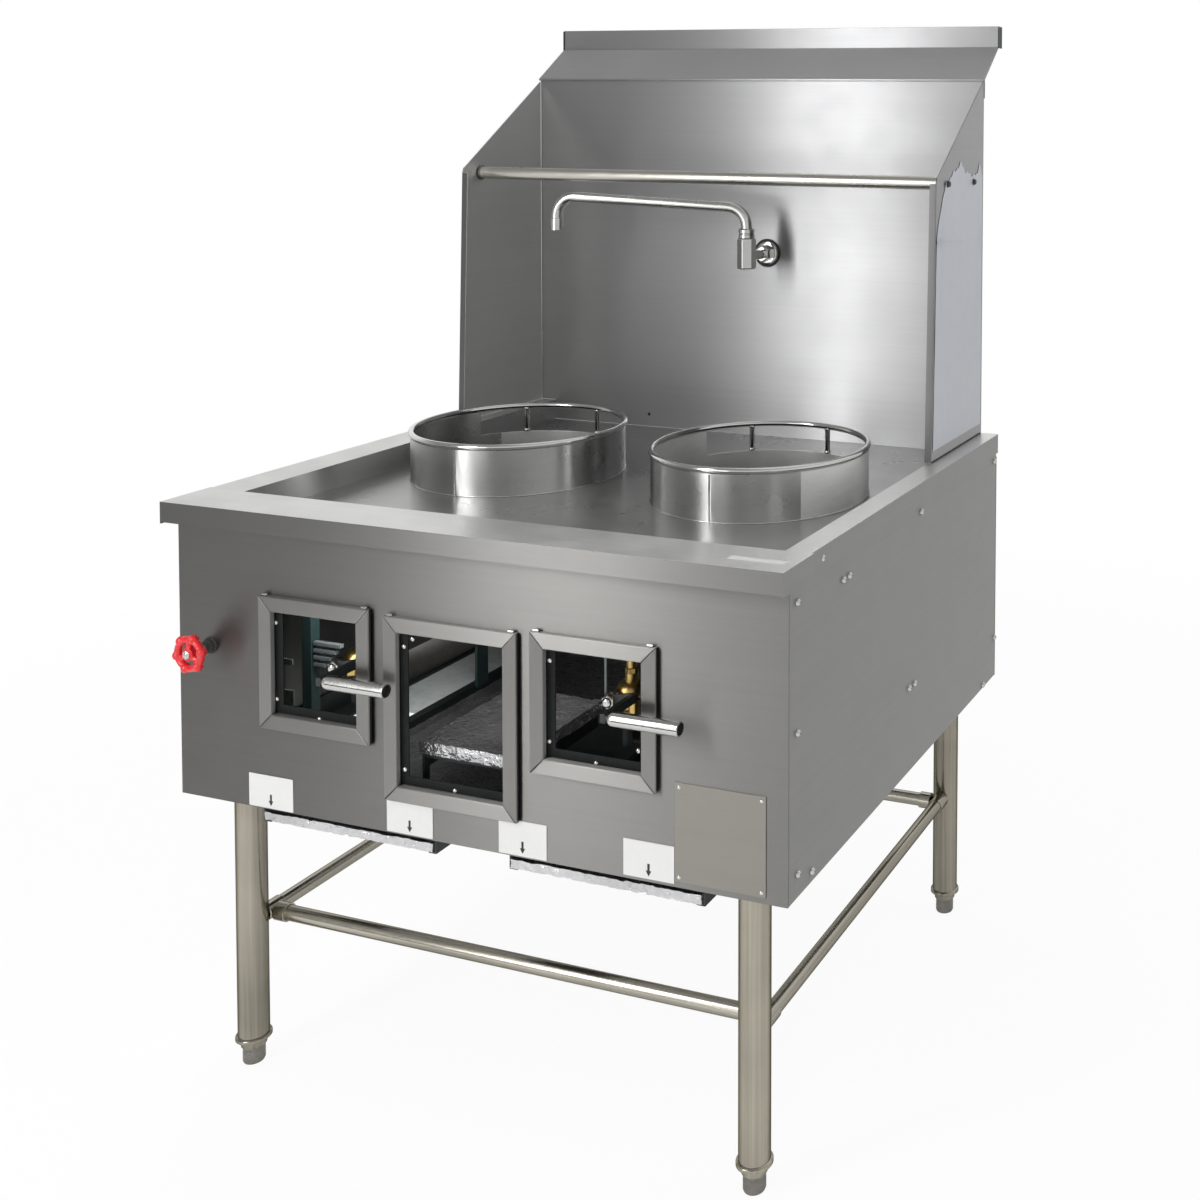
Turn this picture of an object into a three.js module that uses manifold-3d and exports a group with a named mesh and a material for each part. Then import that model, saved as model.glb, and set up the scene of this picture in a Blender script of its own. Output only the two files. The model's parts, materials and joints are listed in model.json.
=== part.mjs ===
// Two-ring wok range with splash-back, drip trays and pipe legs. Millimetres, +Z up, X to the right
// as seen from the front, Y towards the back. The origin is the middle of the footprint, on the floor.
import * as THREE from 'three';
import { mergeVertices } from 'three/addons/utils/BufferGeometryUtils.js';
import Module from 'manifold-3d';

const wasm = await Module();
wasm.setup();

// ---------- driving dimensions ----------
const gap = 0.3;                 // clearance between neighbouring pieces
const sheet = 2;                 // steel sheet thickness
const panelReturn = 25;          // side folds of the front panel
const width = 960;               // cabinet, over the side panels
const depth = 793;               // cabinet, front panel face to rear panel face
const baseZ = 410;               // lower edge of the panels
const rimZ = 837;                // top of the deck rim
const deckDrop = 37;             // recess of the deck below its rim
const rimLeft = 60;              // width of the left rim
const rimRight = 34;             // width of the right rim
const skirtDrop = 33;            // skirt folded down over the side panels
const ledgeOverhang = 25;        // ledge in front of the front panel
const ledgeDepth = 57;           // ledge behind the front panel's face
const ledgeFascia = 29;          // height of the ledge's front fold
const ledgeProud = 3;            // ledge end beyond the skirt
const endFlapDepth = 60;         // end flap of the ledge, behind the panel's face

const leftWindowX = -238;        // windows: middles of the outer trims
const middleWindowX = -15;
const rightWindowX = 204.5;
const sideWindowW = 187;         // outer trims
const sideWindowH = 187;
const middleWindowW = 211;
const middleWindowH = 252;
const leftSill = 118;            // lower edges of the trims above the panels' lower edge
const middleSill = 48;
const rightSill = 119;
const trimFace = 21;             // width of the trim's face
const trimProud = 8;             // trim stands off the panel
const linerFace = 12;            // black liner seen inside the window
const linerDepth = 14;

const ringFromLeft = 200;        // ring centres from the side walls of the deck's recess
const ringFromRight = 226;
const ringY = 418;
const ringR = 165;               // circle of the top rod's centre line
const rodDia = 9.5;
const rodRise = 39.7;            // rod centre above the deck rim
const bandWall = 3;
const bandLow = 32;              // height of the low part of the band
const bandGapHalf = 60;          // half angle of the low part, about the rear
const postAngles = [77, 123];
const postDia = 8;
const wellInset = 8;             // hole in the deck, inside the ring's circle
const chamberClear = 4;          // combustion chamber outside that hole
const chamberDeep = 200;         // its lower end under the deck
const chamberFlange = 8;
const burnerHoleR = 112;
const burnerClear = 8;

const leftValveUp = 83;          // gas valve stems above the lower edges of their windows
const rightValveUp = 92;
const valveY = 70;
const leverStemY = 30;           // plane of the lever's arm
const gripY = -30;               // axis of the lever's tube grip
const gripDia = 19;
const gripLength = 101;
const gripStart = 42;            // from the stem's axis to the near end of the grip
const gripRise = 8;
const gasPipeDia = 27;
const gasPipeDrop = 75;          // its axis under the deck
const gasPipeIn = 56;            // and inside the right panel
const gasTail = 27;              // inlet beyond the rear panel
const venturiDrop = 40;          // burner supply pipe under the chamber

const wheelIn = 56;              // hand wheel inside the left panel
const wheelUp = 221;             // and above the panels' lower edge
const wheelY = -35;
const wheelR = 29;
const wheelLobes = 6;
const stemDia = 8;
const waterPipeDia = 14;
const waterPipeIn = 48;
const waterPipeDrop = 110;       // its run under the deck

const trayLeftClear = 48.9;      // trays: outer sides from the legs
const trayRightClear = 29.9;
const trayMiddleX = 9.5;         // middle of the space between them
const trayApart = 123;
const trayFront = 5;
const trayRear = 93;             // rear ends before the rear panel
const trayHeight = 13;
const trayDrop = 7.5;            // rims under the panels' lower edge
const trayWall = 1.5;
const runnerWall = 3;
const runnerHead = 16;

const beam = 38;                 // angle-iron leg width
const beamWall = 4;
const postWidth = 30;            // rear corner posts

const wingIn = 29;               // outer face of a wing inside the side panel
const wingDeepLow = 241;         // front edge before the rear face, at the deck and at the corner
const wingDeepHigh = 227;
const wingRise = 447;            // corner above the deck rim
const wingSlope = 36.1;          // degrees, top edge
const wingHem = 12;              // inward fold of the front edge
const backRise = 615;            // splash-back above the deck rim
const stripHeight = 20;
const slopeRun = 76;
const slopeRise = 52;
const fasciaHeight = 38;
const fasciaReturn = 20;

const railDeep = 177;            // rail before the rear face
const railUnder = 3;             // and under the wings' corners
const railDia = 22;

const faucetX = 35;
const faucetRise = 301;          // neck above the deck rim
const faucetReach = 79;          // back panel to the spout's axis
const hexFlats = 29;
const hexLow = 22;               // hex body below the neck's axis
const hexHigh = 33;
const spoutDia = 19;
const spoutRise = 86;            // arm height above the neck's axis at the riser
const spoutLength = 350;
const spoutTurn = 192;           // degrees, direction of the arm in the photographed pose
const spoutLift = 20;            // the arm climbs this much to its outer bend
const spoutDrop = 60;            // tip below the outer bend
const spoutBend = 30;

const legDia = 42.2;
const legWall = 2;
const legIn = 72;                // leg axes inside the side panels
const legInsetY = 50;            // leg axis behind the front face and before the rear face
const legPlate = 96;
const legPlateThick = 3.6;
const collarDia = 48.5;
const collarZ = 25;
const footDia = 30;
const footStem = 16;
const railPipeDia = 21.3;
const crossRailDrop = 202;       // rails under the panels' lower edge
const crossRailInset = 34;       // front and rear rails, inboard of the leg axes
const ferruleDia = 25;
const ferruleLength = 30;

const plateAway = 24;            // rating plate right of the right window's trim
const plateUp = 72;              // its middle above the panels' lower edge
const plateW = 128;
const plateT = 0.8;

const boardLeft = 80;            // foil-covered board, from the middle window's middle
const boardRight = 77;
const boardFront = 30;
const boardDeep = 200;
const boardUp = 99;              // above the panels' lower edge
const boardThick = 18;
const returnIn = 2;              // bottom returns of the side panels, clear of the tray runners
const returnFront = 330;

// ---------- derived ----------
const deckZ = rimZ - deckDrop;
const skirtX = width / 2 + gap + sheet;
const ledgeX = skirtX + ledgeProud;
const innerLeft = -(width / 2 - rimLeft);
const innerRight = width / 2 - rimRight;
const ringXs = [innerLeft + ringFromLeft, innerRight - ringFromRight];
const rodZ = rimZ + rodRise;
const bandLowTop = deckZ + bandLow;
const wellR = ringR - wellInset;
const chamberR = wellR + chamberClear;
const chamberZ = deckZ - chamberDeep;
const burnerR = burnerHoleR - burnerClear;
const leftSillZ = baseZ + leftSill;
const rightSillZ = baseZ + rightSill;
const valveZ = [leftSillZ + leftValveUp, rightSillZ + rightValveUp];
const gasPipeZ = deckZ - gasPipeDrop;
const gasPipeX = width / 2 - gasPipeIn;
const venturiZ = chamberZ - venturiDrop;
const wheelX = -(width / 2 - wheelIn);
const wheelZ = baseZ + wheelUp;
const waterPipeX = -(width / 2 - waterPipeIn);
const waterPipeZ = deckZ - waterPipeDrop;
const wingX = width / 2 - wingIn;
const wingFrontBottom = depth - wingDeepLow;
const wingFrontTop = depth - wingDeepHigh;
const wingCornerZ = rimZ + wingRise;
const backTop = rimZ + backRise;
const railY = depth - railDeep;
const railZ = wingCornerZ - railUnder;
const faucetZ = rimZ + faucetRise;
const legX = width / 2 - legIn;
const legR = legDia / 2;
const crossRailZ = baseZ - crossRailDrop;
const plateX = rightWindowX + sideWindowW / 2 + plateAway + plateW / 2;
const plateZ = baseZ + plateUp;
const boardX = [middleWindowX - boardLeft, middleWindowX + boardRight];
const boardY = [boardFront, boardFront + boardDeep];
const boardZ = [baseZ + boardUp, baseZ + boardUp + boardThick];
const trayTop = baseZ - trayDrop;
const trayLength = depth - trayFront - trayRear;
const trays = [
  { name: 'left', x0: -(legX - legR - trayLeftClear), x1: trayMiddleX - trayApart / 2 },
  { name: 'right', x0: trayMiddleX + trayApart / 2, x1: legX - legR - trayRightClear },
];
const panelTop = rimZ - sheet - gap;
const sideInX = width / 2 - sheet;
const beamZ = baseZ + legPlateThick + gap;
const backY = depth - sheet;
const fasciaY = backY + slopeRun;
const stripZ = backTop - stripHeight + 10;
const slopeZ = stripZ + stripHeight;
const fasciaZ = slopeZ + slopeRise;
const frontMost = Math.min(wheelY - 9, gripY - gripDia / 2, -ledgeOverhang);
const rearMost = Math.max(fasciaY + fasciaReturn, depth + gasTail);
const midY = (frontMost + rearMost) / 2;

// ---------- helpers ----------
const group = new THREE.Group();
group.position.y = -midY;

const finishes = {
  brushed: { color: 0x9a9b99, roughness: 0.38, metalness: 0.9 },
  pipe: { color: 0x9a9384, roughness: 0.35, metalness: 0.9 },
  polished: { color: 0xc9c9c6, roughness: 0.15, metalness: 1 },
  black: { color: 0x1b1f1f, roughness: 0.6, metalness: 0.3 },
  iron: { color: 0x33332f, roughness: 0.8, metalness: 0.5 },
  brass: { color: 0xb08d3e, roughness: 0.35, metalness: 1 },
  red: { color: 0xc41c1f, roughness: 0.4, metalness: 0.1 },
  foil: { color: 0xb9babb, roughness: 0.3, metalness: 0.9 },
};

function add(name, geometry, finish) {
  const mesh = new THREE.Mesh(geometry, new THREE.MeshStandardMaterial(finishes[finish]));
  mesh.name = name;
  group.add(mesh);
  return mesh;
}

const box = (x0, x1, y0, y1, z0, z1) =>
  new THREE.BoxGeometry(x1 - x0, y1 - y0, z1 - z0).translate((x0 + x1) / 2, (y0 + y1) / 2, (z0 + z1) / 2);

const rodZAxis = (r, x, y, z0, z1, n = 24) =>
  new THREE.CylinderGeometry(r, r, z1 - z0, n).rotateX(Math.PI / 2).translate(x, y, (z0 + z1) / 2);
const rodYAxis = (r, x, y0, y1, z, n = 24) =>
  new THREE.CylinderGeometry(r, r, y1 - y0, n).translate(x, (y0 + y1) / 2, z);
const rodXAxis = (r, x0, x1, y, z, n = 24) =>
  new THREE.CylinderGeometry(r, r, x1 - x0, n).rotateZ(Math.PI / 2).translate((x0 + x1) / 2, y, z);

// A profile of [radius, height] pairs turned about a vertical axis.
const turned = (profile, x, y, n = 32) =>
  new THREE.LatheGeometry(profile.map((p) => new THREE.Vector2(p[0], p[1])), n)
    .rotateX(Math.PI / 2).translate(x, y, 0);

function solid(geometry) {
  let g = geometry.clone();
  g.deleteAttribute('normal');
  g.deleteAttribute('uv');
  g = mergeVertices(g, 1e-4);
  return new wasm.Manifold(new wasm.Mesh({
    numProp: 3,
    vertProperties: new Float32Array(g.attributes.position.array),
    triVerts: new Uint32Array(g.index.array),
  }));
}

function geometryOf(manifold) {
  const mesh = manifold.getMesh();
  const g = new THREE.BufferGeometry();
  g.setAttribute('position', new THREE.BufferAttribute(new Float32Array(mesh.vertProperties), 3));
  g.setIndex(new THREE.BufferAttribute(new Uint32Array(mesh.triVerts), 1));
  g.computeVertexNormals();
  return g;
}

// Joins the first list and cuts away the second.
function build(parts, cuts = []) {
  let body = parts.map(solid).reduce((a, b) => a.add(b));
  for (const c of cuts) body = body.subtract(solid(c));
  return geometryOf(body);
}

// A flat outline of [a, b] pairs extruded: along X from (y, z), or along Y from (x, z).
function shapeOf(points, holes = []) {
  const s = new THREE.Shape(points.map((p) => new THREE.Vector2(p[0], p[1])));
  for (const h of holes) s.holes.push(new THREE.Path(h.map((p) => new THREE.Vector2(p[0], p[1]))));
  return s;
}
const alongX = (points, x0, x1) =>
  new THREE.ExtrudeGeometry(shapeOf(points), { depth: x1 - x0, bevelEnabled: false })
    .rotateX(Math.PI / 2).rotateZ(Math.PI / 2).translate(x0, 0, 0);
const alongY = (points, y0, y1, holes = []) =>
  new THREE.ExtrudeGeometry(shapeOf(points, holes), { depth: y1 - y0, bevelEnabled: false })
    .rotateX(Math.PI / 2).translate(0, y1, 0);

// A run of pipe through given stations; the corners are rounded with a few stations each.
class PipeRun extends THREE.Curve {
  constructor(corners, radius, perBend = 5) {
    super();
    this.stations = [];
    corners.forEach((c, i) => {
      const here = new THREE.Vector3(...c);
      if (i === 0 || i === corners.length - 1) { this.stations.push(here); return; }
      const before = new THREE.Vector3(...corners[i - 1]).sub(here);
      const after = new THREE.Vector3(...corners[i + 1]).sub(here);
      const from = here.clone().add(before.setLength(Math.min(radius, before.length() * 0.49)));
      const to = here.clone().add(after.setLength(Math.min(radius, after.length() * 0.49)));
      const bend = new THREE.QuadraticBezierCurve3(from, here, to);
      this.stations.push(...bend.getPoints(perBend));
    });
  }
  getPoint(t, target = new THREE.Vector3()) {
    const n = this.stations.length - 1;
    const i = Math.min(Math.floor(t * n), n - 1);
    return target.copy(this.stations[i]).lerp(this.stations[i + 1], t * n - i);
  }
  getPointAt(u, target) { return this.getPoint(u, target); }
  getSpacedPoints() { return this.stations.map((p) => p.clone()); }
  getTangentAt(u) {
    const n = this.stations.length - 1;
    const i = Math.round(u * n);
    const a = this.stations[Math.max(i - 1, 0)];
    const b = this.stations[Math.min(i + 1, n)];
    if (i === 0 || i === n) return b.clone().sub(a).normalize();
    const c = this.stations[i];
    return c.clone().sub(a).normalize().add(b.clone().sub(c).normalize()).normalize();
  }
}
function pipe(corners, radius, bendRadius, sides = 12) {
  const run = new PipeRun(corners, bendRadius);
  const circle = [];
  for (let i = 0; i < sides; i++) {
    const a = (i / sides) * Math.PI * 2;
    circle.push([radius * Math.cos(a), radius * Math.sin(a)]);
  }
  return new THREE.ExtrudeGeometry(shapeOf(circle), {
    steps: run.stations.length - 1, extrudePath: run, bevelEnabled: false,
  });
}

// ---------- cabinet ----------
const windowOf = (name, x, w, z0, h) => ({
  name, x, w, z0, z1: z0 + h,
  x0: x - w / 2 + trimFace, x1: x + w / 2 - trimFace, o0: z0 + trimFace, o1: z0 + h - trimFace,
});
const leftWindow = windowOf('left', leftWindowX, sideWindowW, leftSillZ, sideWindowH);
const middleWindow = windowOf('middle', middleWindowX, middleWindowW, baseZ + middleSill, middleWindowH);
const rightWindow = windowOf('right', rightWindowX, sideWindowW, rightSillZ, sideWindowH);
const openings = [leftWindow, middleWindow, rightWindow];

add('front_panel', build([
  box(-width / 2, width / 2, 0, sheet, baseZ, panelTop),
  box(-sideInX + gap, -sideInX + gap + sheet, 0, panelReturn, baseZ, panelTop),
  box(sideInX - gap - sheet, sideInX - gap, 0, panelReturn, baseZ, panelTop),
], [
  ...openings.map((o) => box(o.x0, o.x1, -1, sheet + 1, o.o0, o.o1)),
  rodYAxis(stemDia / 2 + gap, wheelX, -1, sheet + 1, wheelZ, 16),
]), 'brushed');

for (const side of [-1, 1]) {
  const name = side < 0 ? 'left' : 'right';
  const outer = side * width / 2;
  const x = [outer - side * sheet, outer].sort((a, b) => a - b);
  // the lower edge is folded inwards as far as the tray's runner
  const runner = side < 0 ? trays[0].x0 - runnerHead - gap : trays[1].x1 + runnerHead + gap;
  const fold = [outer, runner + side * returnIn].sort((a, b) => a - b);
  add(`side_panel_${name}`, build([
    box(x[0], x[1], sheet + gap, backY - gap, baseZ, panelTop),
    box(fold[0], fold[1], returnFront, depth - legInsetY - legPlate, baseZ, baseZ + sheet),
  ]), 'brushed');
}

add('rear_panel', build([
  box(-width / 2, width / 2, backY, depth, baseZ, deckZ - sheet - gap),
], [
  rodYAxis(gasPipeDia / 2 + gap, gasPipeX, backY - 1, depth + 1, gasPipeZ, 20),
  rodYAxis(waterPipeDia / 2 + gap, waterPipeX, backY - 1, depth + 1, waterPipeZ, 20),
]), 'brushed');

// cross-section of the folded deck sheet: skirt, rim, wall, floor, wall, rim, skirt
const deckFold = [
  [-skirtX, rimZ - skirtDrop], [-skirtX + sheet, rimZ - skirtDrop], [-skirtX + sheet, rimZ - sheet],
  [innerLeft - sheet, rimZ - sheet], [innerLeft - sheet, deckZ - sheet],
  [innerRight + sheet, deckZ - sheet], [innerRight + sheet, rimZ - sheet],
  [skirtX - sheet, rimZ - sheet], [skirtX - sheet, rimZ - skirtDrop], [skirtX, rimZ - skirtDrop],
  [skirtX, rimZ], [innerRight, rimZ], [innerRight, deckZ], [innerLeft, deckZ], [innerLeft, rimZ],
  [-skirtX, rimZ],
];
const wallY = ledgeDepth - sheet;
add('deck_pan', build([
  alongY(deckFold, wallY, depth),
  box(innerLeft - sheet, innerRight + sheet, wallY, ledgeDepth, deckZ - sheet, rimZ),
  box(-skirtX, -skirtX + sheet, 0, ledgeDepth, rimZ - skirtDrop, rimZ),
  box(skirtX - sheet, skirtX, 0, ledgeDepth, rimZ - skirtDrop, rimZ),
  box(-ledgeX, ledgeX, -ledgeOverhang, ledgeDepth, rimZ - sheet, rimZ),
  box(-ledgeX, ledgeX, -ledgeOverhang, -ledgeOverhang + sheet, rimZ - ledgeFascia, rimZ),
  box(-ledgeX, ledgeX, -ledgeOverhang, -gap, rimZ - ledgeFascia, rimZ - ledgeFascia + sheet),
  box(-ledgeX, -ledgeX + sheet, -ledgeOverhang, endFlapDepth, rimZ - skirtDrop + sheet, rimZ),
  box(ledgeX - sheet, ledgeX, -ledgeOverhang, endFlapDepth, rimZ - skirtDrop + sheet, rimZ),
], [
  ...ringXs.map((x) => rodZAxis(wellR, x, ringY, deckZ - sheet - 1, deckZ + 1, 48)),
]), 'brushed');

// ---------- window trims and liners ----------
for (const o of openings) {
  const x0 = o.x - o.w / 2;
  const x1 = o.x + o.w / 2;
  add(`window_trim_${o.name}`, build([box(x0, x1, -trimProud, -gap, o.z0, o.z1)], [
    box(o.x0, o.x1, -trimProud - 1, 1, o.o0, o.o1),
    ...ringBoxes(x0 + sheet, x1 - sheet, o.x0 - sheet, o.x1 + sheet,
      o.z0 + sheet, o.z1 - sheet, o.o0 - sheet, o.o1 + sheet, -trimProud + sheet, 1),
  ]), 'brushed');
  // angle frame behind the panel: a face against the sheet and a lip turned inwards
  const y0 = sheet + gap;
  add(`window_liner_${o.name}`, build([
    box(o.x0 - 8, o.x1 + 8, y0, y0 + linerDepth, o.o0 - 8, o.o1 + 8),
  ], [
    box(o.x0 + linerFace, o.x1 - 1, y0 - 1, y0 + linerDepth + 1, o.o0 + linerFace, o.o1 - 1),
    box(o.x0 - 6, o.x1 + 6, y0 + 2, y0 + linerDepth + 1, o.o0 - 6, o.o1 + 6),
  ]), 'black');
}

// Four boxes that fill the band between an outer and an inner rectangle.
function ringBoxes(x0, x1, i0, i1, z0, z1, j0, j1, y0, y1) {
  return [
    box(x0, i0, y0, y1, z0, z1), box(i1, x1, y0, y1, z0, z1),
    box(x0, x1, y0, y1, z0, j0), box(x0, x1, y0, y1, j1, z1),
  ];
}

// ---------- rings, chambers and burners ----------
const bandOut = ringR + bandWall / 2;
const bandTop = rodZ - rodDia / 2 - gap;
ringXs.forEach((x, i) => {
  const name = i ? 'right' : 'left';
  const wedge = [[0, 0]];
  for (let a = 90 - bandGapHalf; a <= 90 + bandGapHalf; a += 15) {
    wedge.push([2 * ringR * Math.cos(a * Math.PI / 180), 2 * ringR * Math.sin(a * Math.PI / 180)]);
  }
  const rearCut = new THREE.ExtrudeGeometry(shapeOf(wedge), { depth: rodZ - bandLowTop, bevelEnabled: false })
    .translate(x, ringY, bandLowTop);
  add(`ring_band_${name}`, build([turned([
    [bandOut - bandWall, deckZ + gap], [bandOut, deckZ + gap], [bandOut, bandTop],
    [bandOut - bandWall, bandTop], [bandOut - bandWall, deckZ + gap],
  ], x, ringY, 48)], [rearCut]), 'brushed');
  add(`ring_rod_${name}`, build([
    new THREE.TorusGeometry(ringR, rodDia / 2, 8, 48).translate(x, ringY, rodZ),
    ...postAngles.map((a) => rodZAxis(postDia / 2, x + ringR * Math.cos(a * Math.PI / 180),
      ringY + ringR * Math.sin(a * Math.PI / 180), bandLowTop + gap, rodZ, 10)),
  ]), 'polished');

  const top = deckZ - sheet - gap;
  add(`chamber_${name}`, turned([
    [chamberR, chamberZ], [chamberR, top - sheet], [chamberR + chamberFlange, top - sheet],
    [chamberR + chamberFlange, top], [chamberR - sheet, top], [chamberR - sheet, chamberZ + sheet],
    [burnerHoleR, chamberZ + sheet], [burnerHoleR, chamberZ], [chamberR, chamberZ],
  ], x, ringY, 36), 'iron');

  const supplyX = i ? rightWindowX : leftWindowX;
  add(`burner_${name}`, build([
    turned([
      [0, chamberZ - 60], [burnerR * 0.55, chamberZ - 60], [burnerR, chamberZ - 25],
      [burnerR, chamberZ + 12], [burnerR - 12, chamberZ + 12], [burnerR - 12, chamberZ - 10],
      [burnerR * 0.35, chamberZ - 10], [burnerR * 0.35, chamberZ + 20], [0, chamberZ + 20],
    ], x, ringY, 32),
    turned([
      [burnerR - 6, chamberZ - 8], [burnerHoleR + 10, chamberZ - 8], [burnerHoleR + 10, chamberZ - gap],
      [burnerR - 6, chamberZ - gap], [burnerR - 6, chamberZ - 8],
    ], x, ringY, 32),
    rodYAxis(21, supplyX, valveY + 24, ringY - 20, venturiZ, 20),
  ], [rodYAxis(17, supplyX, valveY + 20, ringY - 60, venturiZ, 16)]), 'iron');
});

// ---------- gas line, valves and levers ----------
const gasTailY = depth + gasTail;
const valveXs = [leftWindowX, rightWindowX];
add('gas_manifold', build([
  rodXAxis(gasPipeDia / 2, valveXs[0] - 30, gasPipeX, valveY, gasPipeZ, 20),
  rodYAxis(gasPipeDia / 2, gasPipeX, valveY, gasTailY, gasPipeZ, 20),
  new THREE.SphereGeometry(gasPipeDia / 2 + 2.5, 16, 10).translate(gasPipeX, valveY, gasPipeZ),
  ...valveXs.map((x) => rodXAxis(gasPipeDia / 2 + 3, x - 18, x + 18, valveY, gasPipeZ, 20)),
]), 'iron');

valveXs.forEach((x, i) => {
  const name = i ? 'right' : 'left';
  const z = valveZ[i];
  const hex = new THREE.CylinderGeometry(18, 18, 22, 6).translate(x, valveY - 12, z);
  add(`gas_valve_${name}`, build([
    rodZAxis(8, x, valveY, venturiZ, gasPipeZ - gasPipeDia / 2 - 3 - gap, 16),
    rodZAxis(13, x, valveY, z - 22, z + 22, 6),
    rodZAxis(11, x, valveY, z + 30, z + 40, 6),
    rodZAxis(11, x, valveY, z - 40, z - 30, 6),
    rodYAxis(15, x, valveY - 12, valveY + 12, z, 20),
    hex,
    rodYAxis(10, x, valveY - 10, valveY + 24 - gap, venturiZ, 16),
  ]), 'brass');
  // stem nut, bent arm and tube grip turn together about the stem
  const faceY = valveY - 23 - gap;
  const gripZ = z + gripRise;
  const armX = x + gripStart - 9;
  add(`gas_lever_${name}`, build([
    rodYAxis(10, x, leverStemY - 4, faceY, z, 16),
    alongY([[x - 9, z - 9], [x + 9, z - 9], [armX + 6, gripZ - 7], [armX + 6, gripZ + 7],
      [x - 9, z + 9]], leverStemY - 4, leverStemY),
    box(armX - 2, armX + 6, gripY - 5, leverStemY, gripZ - 6, gripZ + 6),
    rodXAxis(5, armX, x + gripStart + 12, gripY, gripZ, 12),
    rodXAxis(gripDia / 2, x + gripStart, x + gripStart + gripLength, gripY, gripZ, 24),
  ]), 'polished');
});

// ---------- water valve, hand wheel and pipe ----------
const waterValveY = 52;
add('water_valve', build([
  rodZAxis(13, wheelX, waterValveY, wheelZ - 24, wheelZ + 24, 20),
  rodZAxis(15, wheelX, waterValveY, wheelZ + 16, wheelZ + 30, 6),
  rodZAxis(15, wheelX, waterValveY, wheelZ - 30, wheelZ - 16, 6),
  rodYAxis(12, wheelX, 22, waterValveY + 10, wheelZ, 20),
  rodYAxis(14, wheelX, sheet + gap, 24, wheelZ, 6),
  rodZAxis(waterPipeDia / 2, wheelX, waterValveY, baseZ + 60, wheelZ - 20, 12),
]), 'brass');

const lobes = [];
for (let i = 0; i < 72; i++) {
  const a = (i / 72) * Math.PI * 2;
  const r = wheelR - 2.2 + 2.2 * Math.cos(wheelLobes * a);
  lobes.push([wheelX + r * Math.cos(a), wheelZ + r * Math.sin(a)]);
}
const spokeHoles = [];
for (let k = 0; k < 3; k++) {
  const hole = [];
  const mid = k * 120 + 30;
  for (let a = -42; a <= 42; a += 12) hole.push([19.5, mid + a]);
  for (let a = 36; a >= -36; a -= 18) hole.push([10.5, mid + a]);
  spokeHoles.push(hole.map(([r, d]) =>
    [wheelX + r * Math.cos(d * Math.PI / 180), wheelZ + r * Math.sin(d * Math.PI / 180)]));
}
add('hand_wheel', build([
  alongY(lobes, wheelY - 5, wheelY + 5, spokeHoles),
  rodYAxis(9, wheelX, wheelY - 6, wheelY + 10, wheelZ, 20),
  rodYAxis(5.5, wheelX, wheelY - 9, wheelY, wheelZ, 6),
  rodYAxis(stemDia / 2, wheelX, wheelY, sheet, wheelZ, 16),
]), 'red');

const waterStart = wheelZ + 30 + gap;
const waterBackY = depth + 15;
add('water_pipe', pipe([
  [wheelX, waterValveY, waterStart], [wheelX, waterValveY, waterPipeZ],
  [waterPipeX, waterValveY + 30, waterPipeZ], [waterPipeX, waterBackY, waterPipeZ],
  [faucetX, waterBackY, waterPipeZ], [faucetX, waterBackY, faucetZ], [faucetX, backY, faucetZ],
], waterPipeDia / 2, 14, 10), 'polished');

// ---------- drip trays ----------
for (const { name, x0, x1 } of trays) {
  const z0 = trayTop - trayHeight;
  add(`drip_tray_${name}`, build([
    box(x0, x1, trayFront, trayFront + trayLength, z0, trayTop),
  ], [
    box(x0 + trayWall, x1 - trayWall, trayFront + trayWall, trayFront + trayLength - trayWall,
      z0 + trayWall, trayTop + 1),
  ]), 'foil');
  for (const s of [-1, 1]) {
    const edge = s < 0 ? x0 - gap : x1 + gap;
    const far = (v) => edge + s * v;
    const sorted = (a, b) => [Math.min(a, b), Math.max(a, b)];
    const wall = sorted(edge, far(runnerWall));
    const under = sorted(far(-10), far(runnerWall));
    const head = sorted(edge, far(runnerHead));
    const end = trayFront + trayLength + 20;
    add(`tray_runner_${name}_${s < 0 ? 'a' : 'b'}`, build([
      box(wall[0], wall[1], trayFront + 3, end, z0 - gap - 2.5, beamZ - gap),
      box(under[0], under[1], trayFront + 3, end, z0 - gap - 2.5, z0 - gap),
      box(head[0], head[1], trayFront + 3, end, beamZ - gap - runnerWall, beamZ - gap),
    ]), 'black');
  }
}

// ---------- angle-iron frame ----------
const bx = sideInX - gap;
const by0 = sheet + gap + 2;
const by1 = backY - gap;
const frontX = bx - beam - gap;
add('base_beam_left', build([
  box(-bx, -bx + beamWall, panelReturn + gap, by1, beamZ, beamZ + beam),
  box(-bx, -bx + beam, panelReturn + gap, by1, beamZ, beamZ + beamWall),
]), 'black');
add('base_beam_right', build([
  box(bx - beamWall, bx, panelReturn + gap, by1, beamZ, beamZ + beam),
  box(bx - beam, bx, panelReturn + gap, by1, beamZ, beamZ + beamWall),
]), 'black');
add('base_beam_rear', build([
  box(-frontX, frontX, by1 - beamWall, by1, beamZ, beamZ + beam),
  box(-frontX, frontX, by1 - beam, by1, beamZ, beamZ + beamWall),
  // strap that closes the space between the trays
  box(trays[0].x1 + runnerWall, trays[1].x0 - runnerWall, by0 + beam + gap, by1 - beam + sheet,
    beamZ, beamZ + sheet),
]), 'black');
for (const sx of [-1, 1]) {
  const xa = sx * (bx - beamWall - gap);
  const xs = [xa, xa - sx * beamWall].sort((a, b) => a - b);
  const xw = [xa, xa - sx * postWidth].sort((a, b) => a - b);
  const y1 = by1 - beamWall - gap;
  add(`corner_post_${sx < 0 ? 'left' : 'right'}`, build([
    box(xs[0], xs[1], y1 - postWidth, y1, beamZ + beamWall + gap, panelTop - gap),
    box(xw[0], xw[1], y1 - beamWall, y1, beamZ + beamWall + gap, deckZ - sheet - gap),
  ]), 'black');
}
const standTop = boardZ[0] - gap;
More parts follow.
